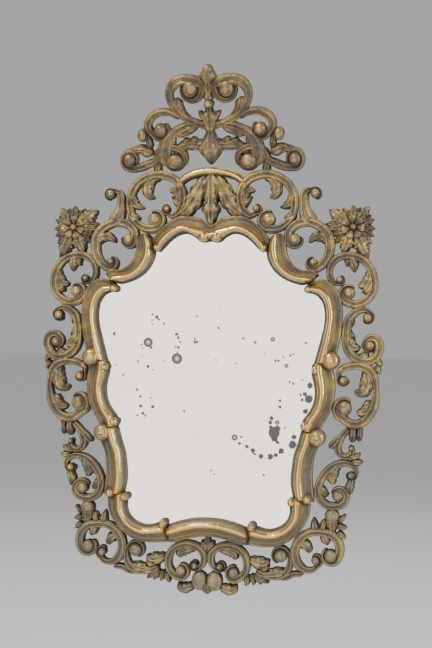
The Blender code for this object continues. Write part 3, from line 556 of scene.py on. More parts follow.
def rosette(name, x, z, radius, depth, petals, place, home):
    # Cupped petals in a ring round a small knob, as one polar body
    rings, sides = 14, petals * 10
    out = np.linspace(1.0, 0.0, rings)[:, None]
    turn = np.linspace(0, 2 * pi, sides, endpoint=False)[None, :]
    petal = np.abs(np.cos(0.5 * petals * turn + 0.4))
    reach = radius * (1 - (1 - petal ** 0.45) * 0.24 * out)
    cup = 0.66 + 0.34 * out ** 1.5 - 0.10 * np.clip(out - 0.8, 0, 1) * 5
    knob = 0.34 * np.sqrt(np.clip(1 - (out / 0.26) ** 2, 0, 1))
    level = depth * (cup - 0.22 * (1 - petal ** 0.5) * np.clip(out * 1.6, 0, 1) + knob)
    level = level - 0.05 * depth * np.cos(3 * petals * turn) * out
    out = np.vstack([[[0.94]], out])
    reach = np.vstack([reach[:1], reach])
    level = np.vstack([np.zeros((1, sides)), level])
    skin = place(x + reach * out * np.cos(turn), z + reach * out * np.sin(turn), level)[:-1]
    return makeBody(name, closedSkin(skin), home)


def volute(name, x, z, wide, tall, depth, place, home, turns=1.15, rim=0.5, groove=0.10):
    # Domed eye of a scroll with a spiral line cut into it; rim is the height of its edge
    rings, sides = 12, 26
    out = np.linspace(1.0, 0.0, rings)[:, None]
    turn = np.linspace(0, 2 * pi, sides, endpoint=False)[None, :]
    spiral = (turn / (2 * pi) + turns * out) % 1.0
    cutLine = np.exp(-((spiral - 0.5) / 0.13) ** 2) * np.clip(out * 2.2 - 0.2, 0, 1)
    cutLine = cutLine * np.clip((1 - out) * 6, 0, 1)
    level = depth * (rim + (1 - rim) * np.sqrt(np.clip(1 - out ** 2.4, 0, 1))) - groove * depth * cutLine
    out = np.vstack([[[0.92]], [[0.97]], out])
    level = np.vstack([np.zeros((1, sides)), np.full((1, sides), 0.2 * depth), level])
    px = x + wide * out * np.cos(turn)
    pz = z + tall * out * np.sin(turn)
    skin = place(px, pz, level)[:-1]  # the fan closes the crown
    return makeBody(name, closedSkin(skin), home)


def join(name, home):
    # Union of every body in the collection into one mesh
    bodies = list(home.objects)
    base = bodies[0]
    home.objects.unlink(base)
    bpy.context.scene.collection.objects.link(base)
    carve = base.modifiers.new("carved as one", "BOOLEAN")
    carve.operation = "UNION"
    carve.solver = "MANIFOLD"
    carve.operand_type = "COLLECTION"
    carve.collection = home
    mesh = meshOf(base)
    mesh.name = name
    for body in bodies:
        bpy.data.objects.remove(body, do_unlink=True)
    bpy.data.collections.remove(home)
    return mesh


def cutAway(mesh, name, cutters):
    body = placed(name, mesh)
    for cutter in cutters:
        cut = body.modifiers.new(cutter.name, "BOOLEAN")
        cut.operation = "DIFFERENCE"
        cut.solver = "MANIFOLD"
        cut.object = cutter
    made = meshOf(body)
    bpy.data.objects.remove(body, do_unlink=True)
    for cutter in cutters:
        bpy.data.objects.remove(cutter, do_unlink=True)
    return made


def block(name, low, high):
    across, deep, tall = zip(low, high)
    corners = np.array([(x, y, z) for x in across for y in deep for z in tall])
    sides = [[0, 1, 3, 2], [4, 6, 7, 5], [0, 4, 5, 1], [2, 3, 7, 6], [0, 2, 6, 4], [1, 5, 7, 3]]
    return makeBody(name, (corners, sides), bpy.context.scene.collection)


def whole(points):  # a line given from the middle outwards, drawn from side to side
    start = 0 if points[0][0] else 1
    return [(-point[0], *point[1:]) for point in reversed(points[start:])] + list(points)


def otherSide(place):
    return lambda x, z, depth: place(-x, z, depth)


def newHome(name):
    made = bpy.data.collections.new(name)
    bpy.context.scene.collection.children.link(made)
    return made


moulding = {  # heights across the moulding, from the edge at the glass to the outer edge
    "section": [(0, 15.5), (0.03, 18), (0.07, 18.6), (0.10, 18), (0.14, 24), (0.19, 31), (0.26, 36),
    (0.34, 38),
                (0.43, 37.4), (0.50, 35), (0.56, 31.5), (0.61, 27.5), (0.66, 24), (0.72, 21.6),
                (0.79, 20.6), (0.86, 21.2), (0.90, 23.8), (0.94, 24.8), (0.97, 24.2), (1.0, 21)],
    "gilt": [(0, 0.10), (0.10, 0.15), (0.16, 0.45), (0.24, 0.80), (0.40, 0.88), (0.50, 0.82), (0.58, 0.55),
             (0.68, 0.30), (0.80, 0.22), (0.90, 0.45), (0.97, 0.40), (1.0, 0.2)],
    "step": 3.8, "stations": 31, "markEvery": 3, "roundedEnd": 7.0,
}


giltMarks = []  # x, z, gilding: where the moulding is bright and where it is bare


def markGilt(x, z, share):
    giltMarks.extend(zip(x.ravel(), z.ravel(), np.broadcast_to(share, x.shape).ravel()))


def mouldingPiece(name, place, home):
    # One piece of the moulding, its section drawn between its two edges and rounded off at its ends
    stations = moulding["stations"]
    inner, outer = mouldingEdges[name]
    edges = [(*a, *b) for a, b in zip(inner, outer)]
    if name in acrossMiddle:
        edges = [(-ix, iz, -ox, oz) for ix, iz, ox, oz in reversed(edges[1:])] + edges
    path, travel = curveThrough(edges, moulding["step"])
    shares = np.linspace(0, 1, stations)
    levels = np.interp(shares, *np.array(moulding["section"]).T)
    levels[1:-1] = 0.25 * levels[:-2] + 0.5 * levels[1:-1] + 0.25 * levels[2:]
    nearEnd = np.clip(np.minimum(travel, travel[-1] - travel) / moulding["roundedEnd"], 0, 1)
    rounding = 0.62 + 0.38 * np.sqrt(1 - (1 - nearEnd) ** 2)
    top = rounding[:, None] * levels[None, :]
    shares = np.concatenate([shares, [0.985, 0.015]])
    levels = np.hstack([top, np.zeros((len(path), 2))])
    x = path[:, :1] + (path[:, 2:3] - path[:, :1]) * shares
    z = path[:, 1:2] + (path[:, 3:4] - path[:, 1:2]) * shares
    marked = slice(0, stations, moulding["markEvery"])
    markGilt(x[:, marked], z[:, marked], np.interp(shares[marked], *np.array(moulding["gilt"]).T))
    return makeBody(name, closedSkin(place(x, z, levels)), home)


flower = {  # leaves: direction, reach, breadth; shape: share of the reach, half width
    "centre": (266, 694), "leafDepth": 25, "petalDepth": 31.5, "rosette": 21.5, "petals": 7, "teeth": 8.0,
    "leaves": [(262, 40, 0.8), (145, 40, 0.7), (108, 40, 0.7), (62, 42, 0.8), (8, 52, 0.8), (320, 46, 0.9),
               (183, 41, 0.8), (222, 46, 0.9), (90, 42, 0.95), (340, 44, 0.9), (158, 42, 0.85),
               (203, 42, 0.8), (127, 49, 0.9), (357, 50, 0.9), (292, 54, 1.25), (245, 66, 1.25),
               (36, 57, 1.25)],
    "shape": [(0.10, 8), (0.30, 12), (0.50, 14.5), (0.70, 11.5), (0.86, 6.5), (1.0, 0.9)],
}


def carveFlower(place, home):
    # Toothed leaves under a rosette of round petals with a knob at its heart
    cx, cz = flower["centre"]
    for number, (direction, length, breadth) in enumerate(flower["leaves"]):
        turn = radians(180 - direction)
        points = [(cx + cos(turn) * length * along, cz + sin(turn) * length * along, half * breadth)
                  for along, half in flower["shape"]]
        depth = flower["leafDepth"] - 2.5 + 0.3 * number  # each leaf lies a little over the last
        sweep(f"flower leaf {number}", points, depth, leafLevel, place, home, 1.8, flower["teeth"], teeth)
    rosette("rosette", cx, cz, flower["rosette"], flower["petalDepth"], flower["petals"], place, home)


carving = {"scrollDepth": 26, "leafDepth": 25, "knobDepth": 29, "beadDepth": 41, "archDepth": 30,
           "palmetteDepth": 34, "scallop": 12.0, "finer": 9.0, "crestScroll": 20, "crestLeaf": 18,
           "crestKnob": 26}


def carveFrame():
    sideHome = newHome("frame carving")
    for name in acrossMiddle:
        mouldingPiece(name, framePlace, sideHome)
    sweep("arch", whole(archLine), carving["archDepth"], rollLevel, framePlace, sideHome)
    archPath, _ = curveThrough(whole(archLine), 3.0)
    for offset in (-4, 0, 4):
        markGilt(np.abs(archPath[:, 0]), archPath[:, 1] + offset, 0.80)
    for number, points in enumerate(middleLeaves):
        sweep(f"middle leaf {number}", points, carving["leafDepth"], leafLevel, framePlace, sideHome, 2.6,
              carving["finer"])
    sweep("palmette", palmetteMiddle, carving["palmetteDepth"], leafLevel, framePlace, sideHome, 2.4, 19.0)
    for place in (framePlace, otherSide(framePlace)):
        for name in mouldingEdges:
            if name not in acrossMiddle:
                mouldingPiece(name, place, sideHome)
        for number, (x, z, radius) in enumerate(rollBeads):
            volute(f"bead {number}", x, z, radius, radius, carving["beadDepth"], place, sideHome,
                   rim=0.6, groove=0)
            grid = np.linspace(-radius, radius, 7)
            markGilt(*np.meshgrid(x + grid, z + grid), 0.85)
        for name, points in scrolls.items():
            sweep(name, windIn(points, scrollEyes), carving["scrollDepth"], scrollLevel, place, sideHome)
        for number, points in enumerate(leaves):
            sweep(f"leaf {number}", points, carving["leafDepth"], leafLevel, place, sideHome, 2.4,
                  carving["scallop"])
        sweep("palmette side", palmetteSide, carving["palmetteDepth"], leafLevel, place, sideHome, 2.4, 22.0)
        for number, (x, z, wide, tall) in enumerate(scrollEyes):
            share = eyeShare((x, z, wide, tall), scrolls.values(), scrollEyes)
            volute(f"eye {number}", x, z, wide * share, tall * share, carving["knobDepth"], place, sideHome)
        carveFlower(place, sideHome)
    mesh = join("frame", sideHome)
    front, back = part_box("frame")[0][1] - pastWood, frameBack + pastWood
    seatTop = (seatLevel - hangingLevel) * unit
    inner, outer = seatReach
    cutters = [block("seat " + side, (low, front, seatTop), (high, back, seatTop + seatCut))
               for side, low, high in (("right", inner, outer), ("left", -outer, -inner))]
    cutters.append(rebateCutter())
    return cutAway(mesh, "frame", cutters)


def rebateLine():
    # Line under the moulding's edge that the glass and the board fill, down the right half and up the left
    line = []
    for name, (start, end) in rebateRuns.items():
        inner, outer = mouldingEdges[name]
        edges = [(*a, *b) for a, b in zip(inner, outer)]
        count = max(2, round((end - start) * 8))
        for share in np.linspace(start, end, count + 1):
            ix, iz, ox, oz = knotCurve(edges, share)
            cover = rebateCover / hypot(ox - ix, oz - iz)
            line.append((ix + (ox - ix) * cover, iz + (oz - iz) * cover))
    return line + [(-x, z) for x, z in reversed(line)]


def knotCurve(points, share):  # a point of the curve through the points, at a share of its knots
    last = len(points) - 1
    knot = min(int(share * last), last - 1)
    four = (np.array(points[min(max(knot + i, 0), last)], dtype=float) for i in (-1, 0, 1, 2))
    return throughKnots(*four, share * last - knot)


def rebateCutter():
    line = np.array(rebateLine())
    depth = (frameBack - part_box("mirror_glass")[0][1]) / unit + 0.3
    rings = [framePlace(line[:, 0], line[:, 1], np.full(len(line), level)) for level in (-6.0, depth)]
    return makeBody("rebate", closedSkin(np.stack(rings)), bpy.context.scene.collection)


def carveCrest():
    home = newHome("crest carving")
    for number, points in enumerate(crestMiddle):
        depth = carving["crestKnob"] if number != 1 else carving["crestScroll"] + 2
        scallop = 0.0 if number else 16.0  # only the finial's edge is scalloped
        sweep(f"crest middle {number}", points, depth, leafLevel, crestPlace, home, 2.2, scallop)
    volute("finial cap", 0, 167.5, 10, 9, carving["crestScroll"] + 1.5, crestPlace, home, groove=0)
    volute("crest bead", *crestBead, carving["crestKnob"], crestPlace, home, turns=0.5)
    sweep("crest bar", whole(crestBar), carving["crestLeaf"], leafLevel, crestPlace, home, 2.6,
          carving["finer"])
    for place in (crestPlace, otherSide(crestPlace)):
        for name, points in crestScrolls.items():
            sweep(name, windIn(points, crestEyes), carving["crestScroll"], scrollLevel, place, home)
        for number, points in enumerate(crestLeaves):
            sweep(f"crest leaf {number}", points, carving["crestLeaf"], leafLevel, place, home, 2.4)
        for number, (x, rise, wide, tall) in enumerate(crestEyes):
            share = eyeShare((x, rise, wide, tall), crestScrolls.values(), crestEyes)
            volute(f"crest eye {number}", x, rise, wide * share, tall * share, carving["crestKnob"],
                   place, home)
    mesh = join("crest", home)
    seat = (seatLevel - hangingLevel) * unit + jointGap
    archTop = (archLine[0][1] + archLine[0][2] - hangingLevel) * unit + jointGap
    archReach = (archLine[2][0] + archLine[0][2]) * unit
    inner, outer = footReach
    rooms = ((inner, outer, seat), (-outer, -inner, seat), (-archReach, archReach, archTop))
    cutters = [block("room for the frame", (low, crestRoom["front"], seat - crestRoom["drop"]),
                     (high, crestRoom["back"], top)) for low, high, top in rooms]
    return cutAway(mesh, "crest", cutters)


def frameRelief(points):  # how far each point stands in front of the frame's flat back, in millimetres
    return (frameBack - points[:, 1]) / unit


def crestRelief(points):
    forward = (frameBack - points[:, 1]) / unit - crestBack
    height = points[:, 2] / unit + hangingLevel - seatLevel - crestHinge
    return forward * cos(crestLean) - height * sin(crestLean)


def spread(grid, reach):
    # Soft average over the cells within reach
    kernel = np.ones(2 * reach + 1) / (2 * reach + 1)
    for axis in (0, 1, 0, 1):
        grid = np.apply_along_axis(lambda line: np.convolve(line, kernel, "same"), axis, grid)
    return grid


# How readSurface looks at the carving: sizes in layout units, reaches in cells
survey = {
    "cell": 1.5, "margin": 20, "leastWood": 4.0, "nearReach": 2, "wideReach": 4, "nearDepth": 7.0,
    "wideDepth": 12.0, "leastMoulding": 14.0, "markReach": 3.5, "fullDepth": 40.0,
    "bareBack": 1.5,  # wood this near to the flat back was never gilded
}


def readSurface(mesh, relief, marks, plainGilt):
    # Marks each point with how deep it lies below the carving round it, which the finish paints as shade,
    # how far it stands proud, which the finish paints as more leaf and highlight, and how much gilding is
    # left
    count = len(mesh.vertices)
    points = np.empty(count * 3)
    mesh.vertices.foreach_get("co", points)
    points = points.reshape(-1, 3)
    level = relief(points)
    cell, margin = survey["cell"] * unit, survey["margin"]
    low = points.min(axis=0) - margin * cell
    column, row = (((points - low) / cell).astype(int))[:, [0, 2]].T
    tall = np.zeros((column.max() + margin + 1, row.max() + margin + 1))
    np.maximum.at(tall, (column, row), level)
    for axis in (0, 1):  # fills the gaps between the points
        tall = np.maximum(tall, np.maximum(np.roll(tall, 1, axis), np.roll(tall, -1, axis)))
    wood = (tall > survey["leastWood"]).astype(float)
    near, wide = ((spread(tall * wood, reach) / np.maximum(spread(wood, reach), 0.05))[column, row]
                  for reach in (survey["nearReach"], survey["wideReach"]))
    # How far each point lies below the carving round it, used by the finish as painted shade
    hollowShade = np.clip((near - level) / survey["nearDepth"] - 0.12, 0, 1) * 0.8
    hollowShade += np.clip((wide - level) / survey["wideDepth"] - 0.1, 0, 1) * 0.6
    # How far each point stands above the carving round it, which the finish paints as more leaf, partly a
    # painted highlight
    proud = np.clip((level - wide) / survey["nearDepth"] - 0.08, 0, 1)
    gilt = np.full(count, plainGilt)
    hollowShade[level < survey["bareBack"]] *= 0.35
    gilt[level < survey["bareBack"]] = -0.8
    if marks:
        tree = kdtree.KDTree(len(marks))
        for index, (x, z, _) in enumerate(marks):
            tree.insert((x * unit, 0.0, (z - hangingLevel) * unit), index)
        tree.balance()
        for index in np.nonzero(level > survey["leastMoulding"])[0]:
            x, _, z = points[index]
            _, nearest, distance = tree.find((abs(x), 0.0, z))
            if distance < survey["markReach"] * unit:
                gilt[index] = marks[nearest][2]
                hollowShade[index] *= 0.45
                proud[index] *= 0.5
    for name, values in (("hollowShade", np.clip(hollowShade, 0, 1)), ("proud", proud), ("gilt", gilt),
                         ("depth", np.clip(level / survey["fullDepth"], 0, 1))):
        layer = mesh.attributes.new(name, "FLOAT", "POINT")
        layer.data.foreach_set("value", values.astype(np.float32))


def dropCrumbs(mesh, fewest=40):
    # Removes the loose splinters of a few points each that a union can leave
    body = bmesh.new()
    body.from_mesh(mesh)
    seen, crumbs = set(), []
    for start in body.verts:
        if start in seen:
            continue
        seen.add(start)
        group = [start]
        for point in group:
            for edge in point.link_edges:
                other = edge.other_vert(point)
                if other not in seen:
                    seen.add(other)
                    group.append(other)
        if len(group) < fewest:
            crumbs += group
    bmesh.ops.delete(body, geom=crumbs, context="VERTS")
    body.to_mesh(mesh)
    body.free()


sharpTurn = radians(38)  # edges that turn more than this stay sharp


def finishedPiece(name, mesh, finish, *nodes):
    mesh.validate()
    mesh.shade_smooth()
    mesh.set_sharp_from_angle(angle=sharpTurn)
    mesh.materials.clear()
    mesh.materials.append(finish)
    piece = placed(name, mesh)
    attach(piece, "root")
    if nodes:
        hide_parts(*nodes)
    return piece


gilding = {  # leaf, thin leaf, olive patches, bole, grime, grey tone towards the bottom, painted shade in the hollows
    "frame": [(0.70, 0.460, 0.165), (0.345, 0.247, 0.119), (0.37, 0.30, 0.085), (0.20, 0.095, 0.045),
              (0.155, 0.127, 0.090), (0.232, 0.194, 0.139), (0.020, 0.015, 0.010)],
    "crest": [(0.60, 0.385, 0.145), (0.207, 0.142, 0.080), (0.29, 0.20, 0.065), (0.22, 0.09, 0.045),
              (0.125, 0.094, 0.069), (0.150, 0.118, 0.088), (0.018, 0.013, 0.009)],
}


def giltFinish(name, tones):
    # Worn water gilding: leaf on the high parts, there partly a painted highlight, painted shade in the low
    # ones, red bole where it is rubbed
    leaf, thin, olive, bole, grime, lowerGrey, dark = (colour(*tone) for tone in tones)
    make = Finish(name)
    hollowShade, proud = make.attribute("hollowShade"), make.attribute("proud")
    gilt, depth = make.attribute("gilt"), make.attribute("depth")
    height = make.node("ShaderNodeSeparateXYZ", inputs={"Vector": make.place}, output=2)
    clouds = make.noise(26.0, 4.0, 0.6)
    streaks = make.noise(95.0, 5.0, 0.68, distortion=0.8)
    specks = make.noise(520.0, 3.0, 0.7)
    # Share of leaf: gilding marks and noise, more on proud ridges as partly a painted highlight, less in the
    # hollows as painted shade
    left = gilt + proud * 0.48 - hollowShade * 0.5 + (clouds - 0.5) * 1.1
    left = left + (streaks - 0.5) * 1.2 + (depth - 0.6) * 0.4
    # Greyer, with less leaf, towards the bottom of the frame
    towardsBottom = 1 - make.step(height, -0.64, -0.30)
    left = left - towardsBottom * (1.1 - gilt) * 0.30
    bright = make.step(left, 0.22, 0.95)
    tinted = make.blend(make.step(make.noise(17.0, 2.0), 0.46, 0.62) * 0.8, thin, olive)
    grimeGreyerBelow = make.blend(towardsBottom * (1 - make.step(gilt, 0.1, 0.5) * 0.5), grime, lowerGrey)
    kept = make.step(clouds * 0.6 + streaks * 0.5 + gilt * 0.35 - towardsBottom * 0.05, 0.58, 0.78)
    faded = make.blend(kept, grimeGreyerBelow, tinted)
    coat = make.blend(bright, faded, leaf)
    rubbed = make.step(specks * 0.5 + streaks * 0.7, 0.66, 0.76) * 0.75
    worn = make.blend(rubbed, coat, bole)
    pits = make.step(specks + streaks * 0.25, 0.76, 0.86) * 0.6
    # Painted shade in the hollows, plus real pits; these go towards the near-black shade tone and lose metal
    low = (hollowShade * 1.5 * (0.75 + streaks * 0.5) + pits).atMost(1.0)
    shadedAndPitted = make.blend(low * 0.94, worn, dark)
    metal = (0.35 + bright * 0.62 - low * 0.5 - rubbed * 0.5).atLeast(0.0)
    rough = (0.48 - bright * 0.24 + low * 0.30 + (streaks - 0.5) * 0.34 + rubbed * 0.2).atLeast(0.16)
    grain = make.bump(make.noise(240.0, 3.0, 0.6), 0.22, 0.0006)
    tooled = make.bump(make.noise(60.0, 2.0, 0.5), 0.40, 0.0022, grain)
    return make.feed(Base_Color=shadedAndPitted, Metallic=metal, Roughness=rough, Normal=tooled)


studio = {"floorDrop": 0.36, "floorSize": 60.0, "skyTone": 0.80, "skyPower": 0.56, "yaw": radians(9.33),
          "roll": radians(0.66), "distance": 2.2493, "target": (0.0123, -0.0235, -0.2477), "lens": 66.67,
          "sensor": 36.0, "photoSize": (432, 648)}


def photoView():
    # Where the photo was taken from, and the directions right, up and back from it
    yaw, roll = studio["yaw"], studio["roll"]
    right = Vector((cos(yaw), sin(yaw), 0.0))
    up = Vector((0.0, 0.0, 1.0))
    back = Vector((sin(yaw), -cos(yaw), 0.0))
    eye = Vector(studio["target"]) + back * studio["distance"]
    return eye, right * cos(roll) + up * sin(roll), up * cos(roll) - right * sin(roll), back


# Foxing, read off two enlargements of the photo, with some spots then split or moved:
# a corner in photo pixels, how far enlarged, then x and y in the enlargement and a radius in layout units
foxingLooks = {
    "left half": {
        "corner": (110, 290), "zoom": 12,
        "rings": [(465, 630, 9.3), (810, 825, 10.6)],
        "blots": [
            (500, 690, 2.8), (570, 325, 3.6), (594, 352, 2.4), (522, 292, 2.6), (512, 365, 1.7),
            (517, 408, 1.8), (655, 400, 2.0), (807, 531, 3.0), (826, 570, 2.8), (848, 628, 2.2),
            (793, 680, 1.9), (832, 692, 2.6), (820, 750, 2.3), (385, 655, 1.7), (397, 696, 1.8),
            (393, 790, 1.6), (342, 850, 1.8), (465, 915, 3.0), (533, 957, 1.8), (165, 1018, 2.3),
            (85, 895, 1.8), (338, 1192, 2.4), (372, 1278, 2.6), (495, 1290, 1.9), (375, 1388, 3.2),
            (520, 1398, 3.4), (400, 1478, 3.0), (432, 1503, 2.8), (338, 1500, 1.7), (895, 1450, 2.1),
            (1024, 623, 2.6), (1050, 623, 2.6), (1027, 585, 2.0), (1050, 320, 2.1), (657, 843, 1.5),
            (60, 520, 3.0)],
    },
    "right half": {
        "corner": (205, 300), "zoom": 9,
        "rings": [(615, 353, 4.6), (655, 1102, 4.6), (270, 1235, 6.2), (735, 592, 4.1)],
        "blots": [
            (348, 343, 2.2), (455, 378, 2.9), (125, 250, 2.5), (140, 98, 1.9), (105, 537, 2.0),
            (278, 568, 1.8), (537, 488, 1.6), (637, 545, 2.2), (667, 545, 2.2), (710, 508, 1.9),
            (770, 500, 2.1), (802, 488, 1.6), (765, 737, 1.9), (795, 752, 2.4), (877, 717, 2.0),
            (945, 770, 5.6), (900, 845, 4.0), (935, 890, 7.5), (862, 853, 2.4), (875, 900, 2.8),
            (905, 1000, 4.8), (678, 902, 2.9), (675, 962, 2.7), (600, 1060, 4.2), (590, 1105, 3.8),
            (596, 1142, 3.4), (625, 1190, 10.6), (628, 1244, 6.6), (657, 1277, 3.6), (653, 1158, 6.4),
            (720, 1150, 2.2), (327, 1233, 2.2), (313, 1290, 3.0), (380, 1315, 3.9), (437, 1352, 4.4),
            (452, 1385, 2.6), (505, 1405, 4.4), (592, 1405, 5.6), (641, 1394, 4.0), (690, 1355, 5.4),
            (800, 1230, 4.6), (790, 1300, 7.3), (532, 1573, 2.4), (60, 1535, 1.8), (88, 1565, 2.0),
            (912, 388, 2.5)],
    },
}
foxingDepth = 8.0  # the readings are put on a plane this far in front of the frame's back
speckClusters = [(188, 380, 26), (-185, 488, 26), (158, 292, 18), (-196, 400, 22)]  # in layout units


def foxing(kind):
    # The readings of one kind as layout places, each to the nearest unit
    eye, right, up, back = photoView()
    wide, tall = studio["photoSize"]
    focal = studio["lens"] / studio["sensor"] * tall
    for look in foxingLooks.values():
        left, top = look["corner"]
        for x, y, radius in look[kind]:
            across = left + x / look["zoom"] - wide / 2
            down = top + y / look["zoom"] - tall / 2
            ray = right * across - up * down - back * focal
            hit = eye + ray * ((frameBack - foxingDepth * unit - eye.y) / ray.y)
            yield round(hit.x / unit), round(hit.z / unit + hangingLevel), radius


def glassFinish():
    # Old silvering: clear over most of the plate, lost in spots, rings and specks
    make = Finish("old mirror glass")
    flat = make.node("ShaderNodeVectorMath", {"operation": "MULTIPLY"}, {0: make.place, 1: (1, 0, 1)})
    waver = make.node("ShaderNodeTexNoise", {}, {"Vector": flat, "Scale": 260.0, "Detail": 3.0}, output=1)
    shift = make.node("ShaderNodeVectorMath", {"operation": "MULTIPLY_ADD"},
                      {0: waver, 1: (0.007, 0.0, 0.007), 2: (-0.0035, 0.0, -0.0035)})
    torn = make.node("ShaderNodeVectorMath", {"operation": "ADD"}, {0: flat, 1: shift})

    def away(x, z, around=torn):
        return make.node("ShaderNodeVectorMath", {"operation": "DISTANCE"},
                         {0: around, 1: (x * unit, 0.0, (z - hangingLevel) * unit)}, output=1)
    reach = None
    for x, z, radius in foxing("blots"):
        edge = away(x, z) - radius * unit
        reach = edge if reach is None else reach.atMost(edge)
    lost = 1 - make.step(reach, -0.0005, 0.0006)
    for x, z, radius in foxing("rings"):
        middle = away(x, z, flat) / (radius * unit)
        band = 1 - make.step((middle - 0.72).size(), 0.10, 0.30)
        disc = (1 - make.step(middle, 0.92, 1.08)) * (0.74 + band * 0.26)
        lost = lost.atLeast(disc * make.step(middle, 0.08, 0.22))
    near = None
    for x, z, radius in speckClusters:
        cloud = 1 - make.step(away(x, z), radius * unit * 0.2, radius * unit)
        near = cloud if near is None else near.atLeast(cloud)
    fine = make.noise(330.0, 2.0, 0.6, place=flat)
    lost = lost.atLeast(make.step(fine + near * 0.14, 0.730, 0.765))
    faint = make.step(make.noise(150.0, 2.0, 0.5, place=flat), 0.70, 0.76) * 0.35
    lost = lost.atLeast(faint)
    haze = make.step(make.noise(9.0, 3.0, 0.6, place=flat), 0.45, 0.75)
    silver = make.blend(haze * 0.6, colour(0.89, 0.82, 0.765), colour(0.82, 0.75, 0.69))
    tone = make.blend(lost * 0.95, silver, colour(0.035, 0.034, 0.045))
    return make.feed(Base_Color=tone, Metallic=1 - lost * 0.9, Roughness=0.035 + haze * 0.03 + lost * 0.40)


def boardFinish():
    make = Finish("bare planed board")
    long = make.node("ShaderNodeMapping", {}, {"Vector": make.place, "Scale": (60.0, 60.0, 3.5)})
    grain = make.noise(1.0, 6.0, 0.62, place=long, distortion=0.8)
    pores = make.noise(9.0, 3.0, 0.6, place=long)
    tone = make.blend(make.step(grain, 0.30, 0.72), colour(0.16, 0.095, 0.05), colour(0.36, 0.24, 0.135))
    tone = make.blend(make.step(pores, 0.60, 0.72) * 0.6, tone, colour(0.07, 0.04, 0.022))
    return make.feed(Base_Color=tone, Roughness=0.74 + grain * 0.14, Normal=make.bump(grain, 0.35, 0.0008))


def ironFinish(name, base, rust):
    make = Finish(name)
    patches = make.step(make.noise(120.0, 5.0, 0.65), 0.50, 0.66)
    tone = make.blend(patches * 0.7, colour(*base), colour(*rust))
    return make.feed(Base_Color=tone, Metallic=0.85 - patches * 0.6, Roughness=0.48 + patches * 0.32,
                     Normal=make.bump(make.noise(700.0, 3.0), 0.4, 0.0003))


hanger = {"width": 46.0, "height": 30.0, "thickness": 2.0, "corner": 4.0, "holeRadius": 4.5, "holeRise": 8.0,
          "screwSpread": 16.0, "screwDrop": 5.0, "screwRadius": 3.4, "sink": 1.3, "edge": 0.25,
          "bradCount": 26, "bradLength": 15.0, "bradRadius": 0.75, "bradSides": 10}


def lathe(name, outline, centre, sides=40):
    # A turned body about the Y axis through the centre: outline of radius and depth behind the wall
    turn = np.linspace(0, 2 * pi, sides, endpoint=False)
    x, z = centre
    rings = [np.column_stack([x + r * np.cos(turn), np.full(sides, -level), z + r * np.sin(turn)])
             for r, level in outline]
    return makeBody(name, closedSkin(np.stack(rings) * unit), bpy.context.scene.collection)


def makeHangingPlate():
    # Round-cornered iron plate with a hook hole and two sunk screw holes
    corner = hanger["corner"]
    outline = []
    for quarter, (sx, sz) in enumerate(((1, 1), (-1, 1), (-1, -1), (1, -1))):
        for step in range(7):
            turn = 0.5 * pi * (quarter + step / 6)
            outline.append((sx * (hanger["width"] / 2 - corner) + corner * cos(turn),
                            sz * (hanger["height"] / 2 - corner) + corner * sin(turn)))
    line = np.array(outline)
    rings = []
    edge, thick = hanger["edge"], hanger["thickness"]
    for level, inset in ((0.0, edge), (edge, 0.0), (thick - edge, 0.0), (thick, edge)):
        scale = 1 - inset / np.array([hanger["width"] / 2, hanger["height"] / 2])
        ring = [line[:, 0] * scale[0], np.full(len(line), -level), line[:, 1] * scale[1]]
        rings.append(np.column_stack(ring) * unit)
    plate = makeBody("hanging plate blank", closedSkin(np.stack(rings)), bpy.context.scene.collection)
    hole = hanger["holeRadius"]
    cutters = [lathe("hook hole", [(hole + 0.4, -1.0), (hole + 0.4, 0.0), (hole, 0.4), (hole, 3.0)],
                     (0, hanger["holeRise"]))]
    for side in (-1, 1):
        radius = hanger["screwRadius"]
        cutters.append(lathe("screw sink", [(radius + 0.9, -1.0), (radius + 0.1, 0.0),
        (radius - 1.3, hanger["sink"]),
                                            (radius - 1.3, 3.0)],
                             (side * hanger["screwSpread"], -hanger["screwDrop"])))
    mesh = plate.data
    bpy.data.objects.remove(plate, do_unlink=True)
    return cutAway(mesh, "hanging plate", cutters)


def makeScrewHead():
    # Sunk screw head with a straight slot, at the origin, its face towards the wall
    radius = hanger["screwRadius"]
    head = lathe("screw head", [(radius - 1.45, 1.9), (radius - 0.1, 0.45), (radius - 0.35, 0.2),
    (0.4, 0.12)], (0, 0))
    slot = block("slot", (-radius * unit, -0.0008, -0.0004), (radius * unit, 0.002, 0.0004))
    mesh = head.data
    bpy.data.objects.remove(head, do_unlink=True)
    return cutAway(mesh, "screw head", [slot])


def nodeTree(name, sizes):
    # A Geometry Nodes tree with named sizes; returns it with one port for each
    tree = bpy.data.node_groups.new(name, "GeometryNodeTree")
    sizes = {"Geometry": "NodeSocketGeometry", **sizes}
    for label, kind in sizes.items():
        tree.interface.new_socket(label, in_out="INPUT", socket_type=kind)
    tree.interface.new_socket("Geometry", in_out="OUTPUT", socket_type="NodeSocketGeometry")
    given = tree.nodes.new("NodeGroupInput").outputs
    return tree, {label: Port(tree, given[label]) for label in sizes}


def putOut(tree, finish, **placing):
    # Ends the tree: copies at the points, made real, with their material
    copies = addNode(tree, "GeometryNodeInstanceOnPoints", inputs=placing)
    real = addNode(tree, "GeometryNodeRealizeInstances", inputs={"Geometry": copies})
    coated = addNode(tree, "GeometryNodeSetMaterial", inputs={"Geometry": real, "Material": finish})
    addNode(tree, "NodeGroupOutput", inputs={"Geometry": coated})


def grown(name, mesh, tree, values):
    # Runs the tree on the mesh and keeps its result as a plain mesh
    seed = placed(name, mesh)
    grow = seed.modifiers.new(name, "NODES")
    grow.node_group = tree
    for item in tree.interface.items_tree:
        if item.in_out == "INPUT" and item.name in values:
            grow[item.identifier] = values[item.name]
    made = meshOf(seed)
    bpy.data.objects.remove(seed, do_unlink=True)
    return made


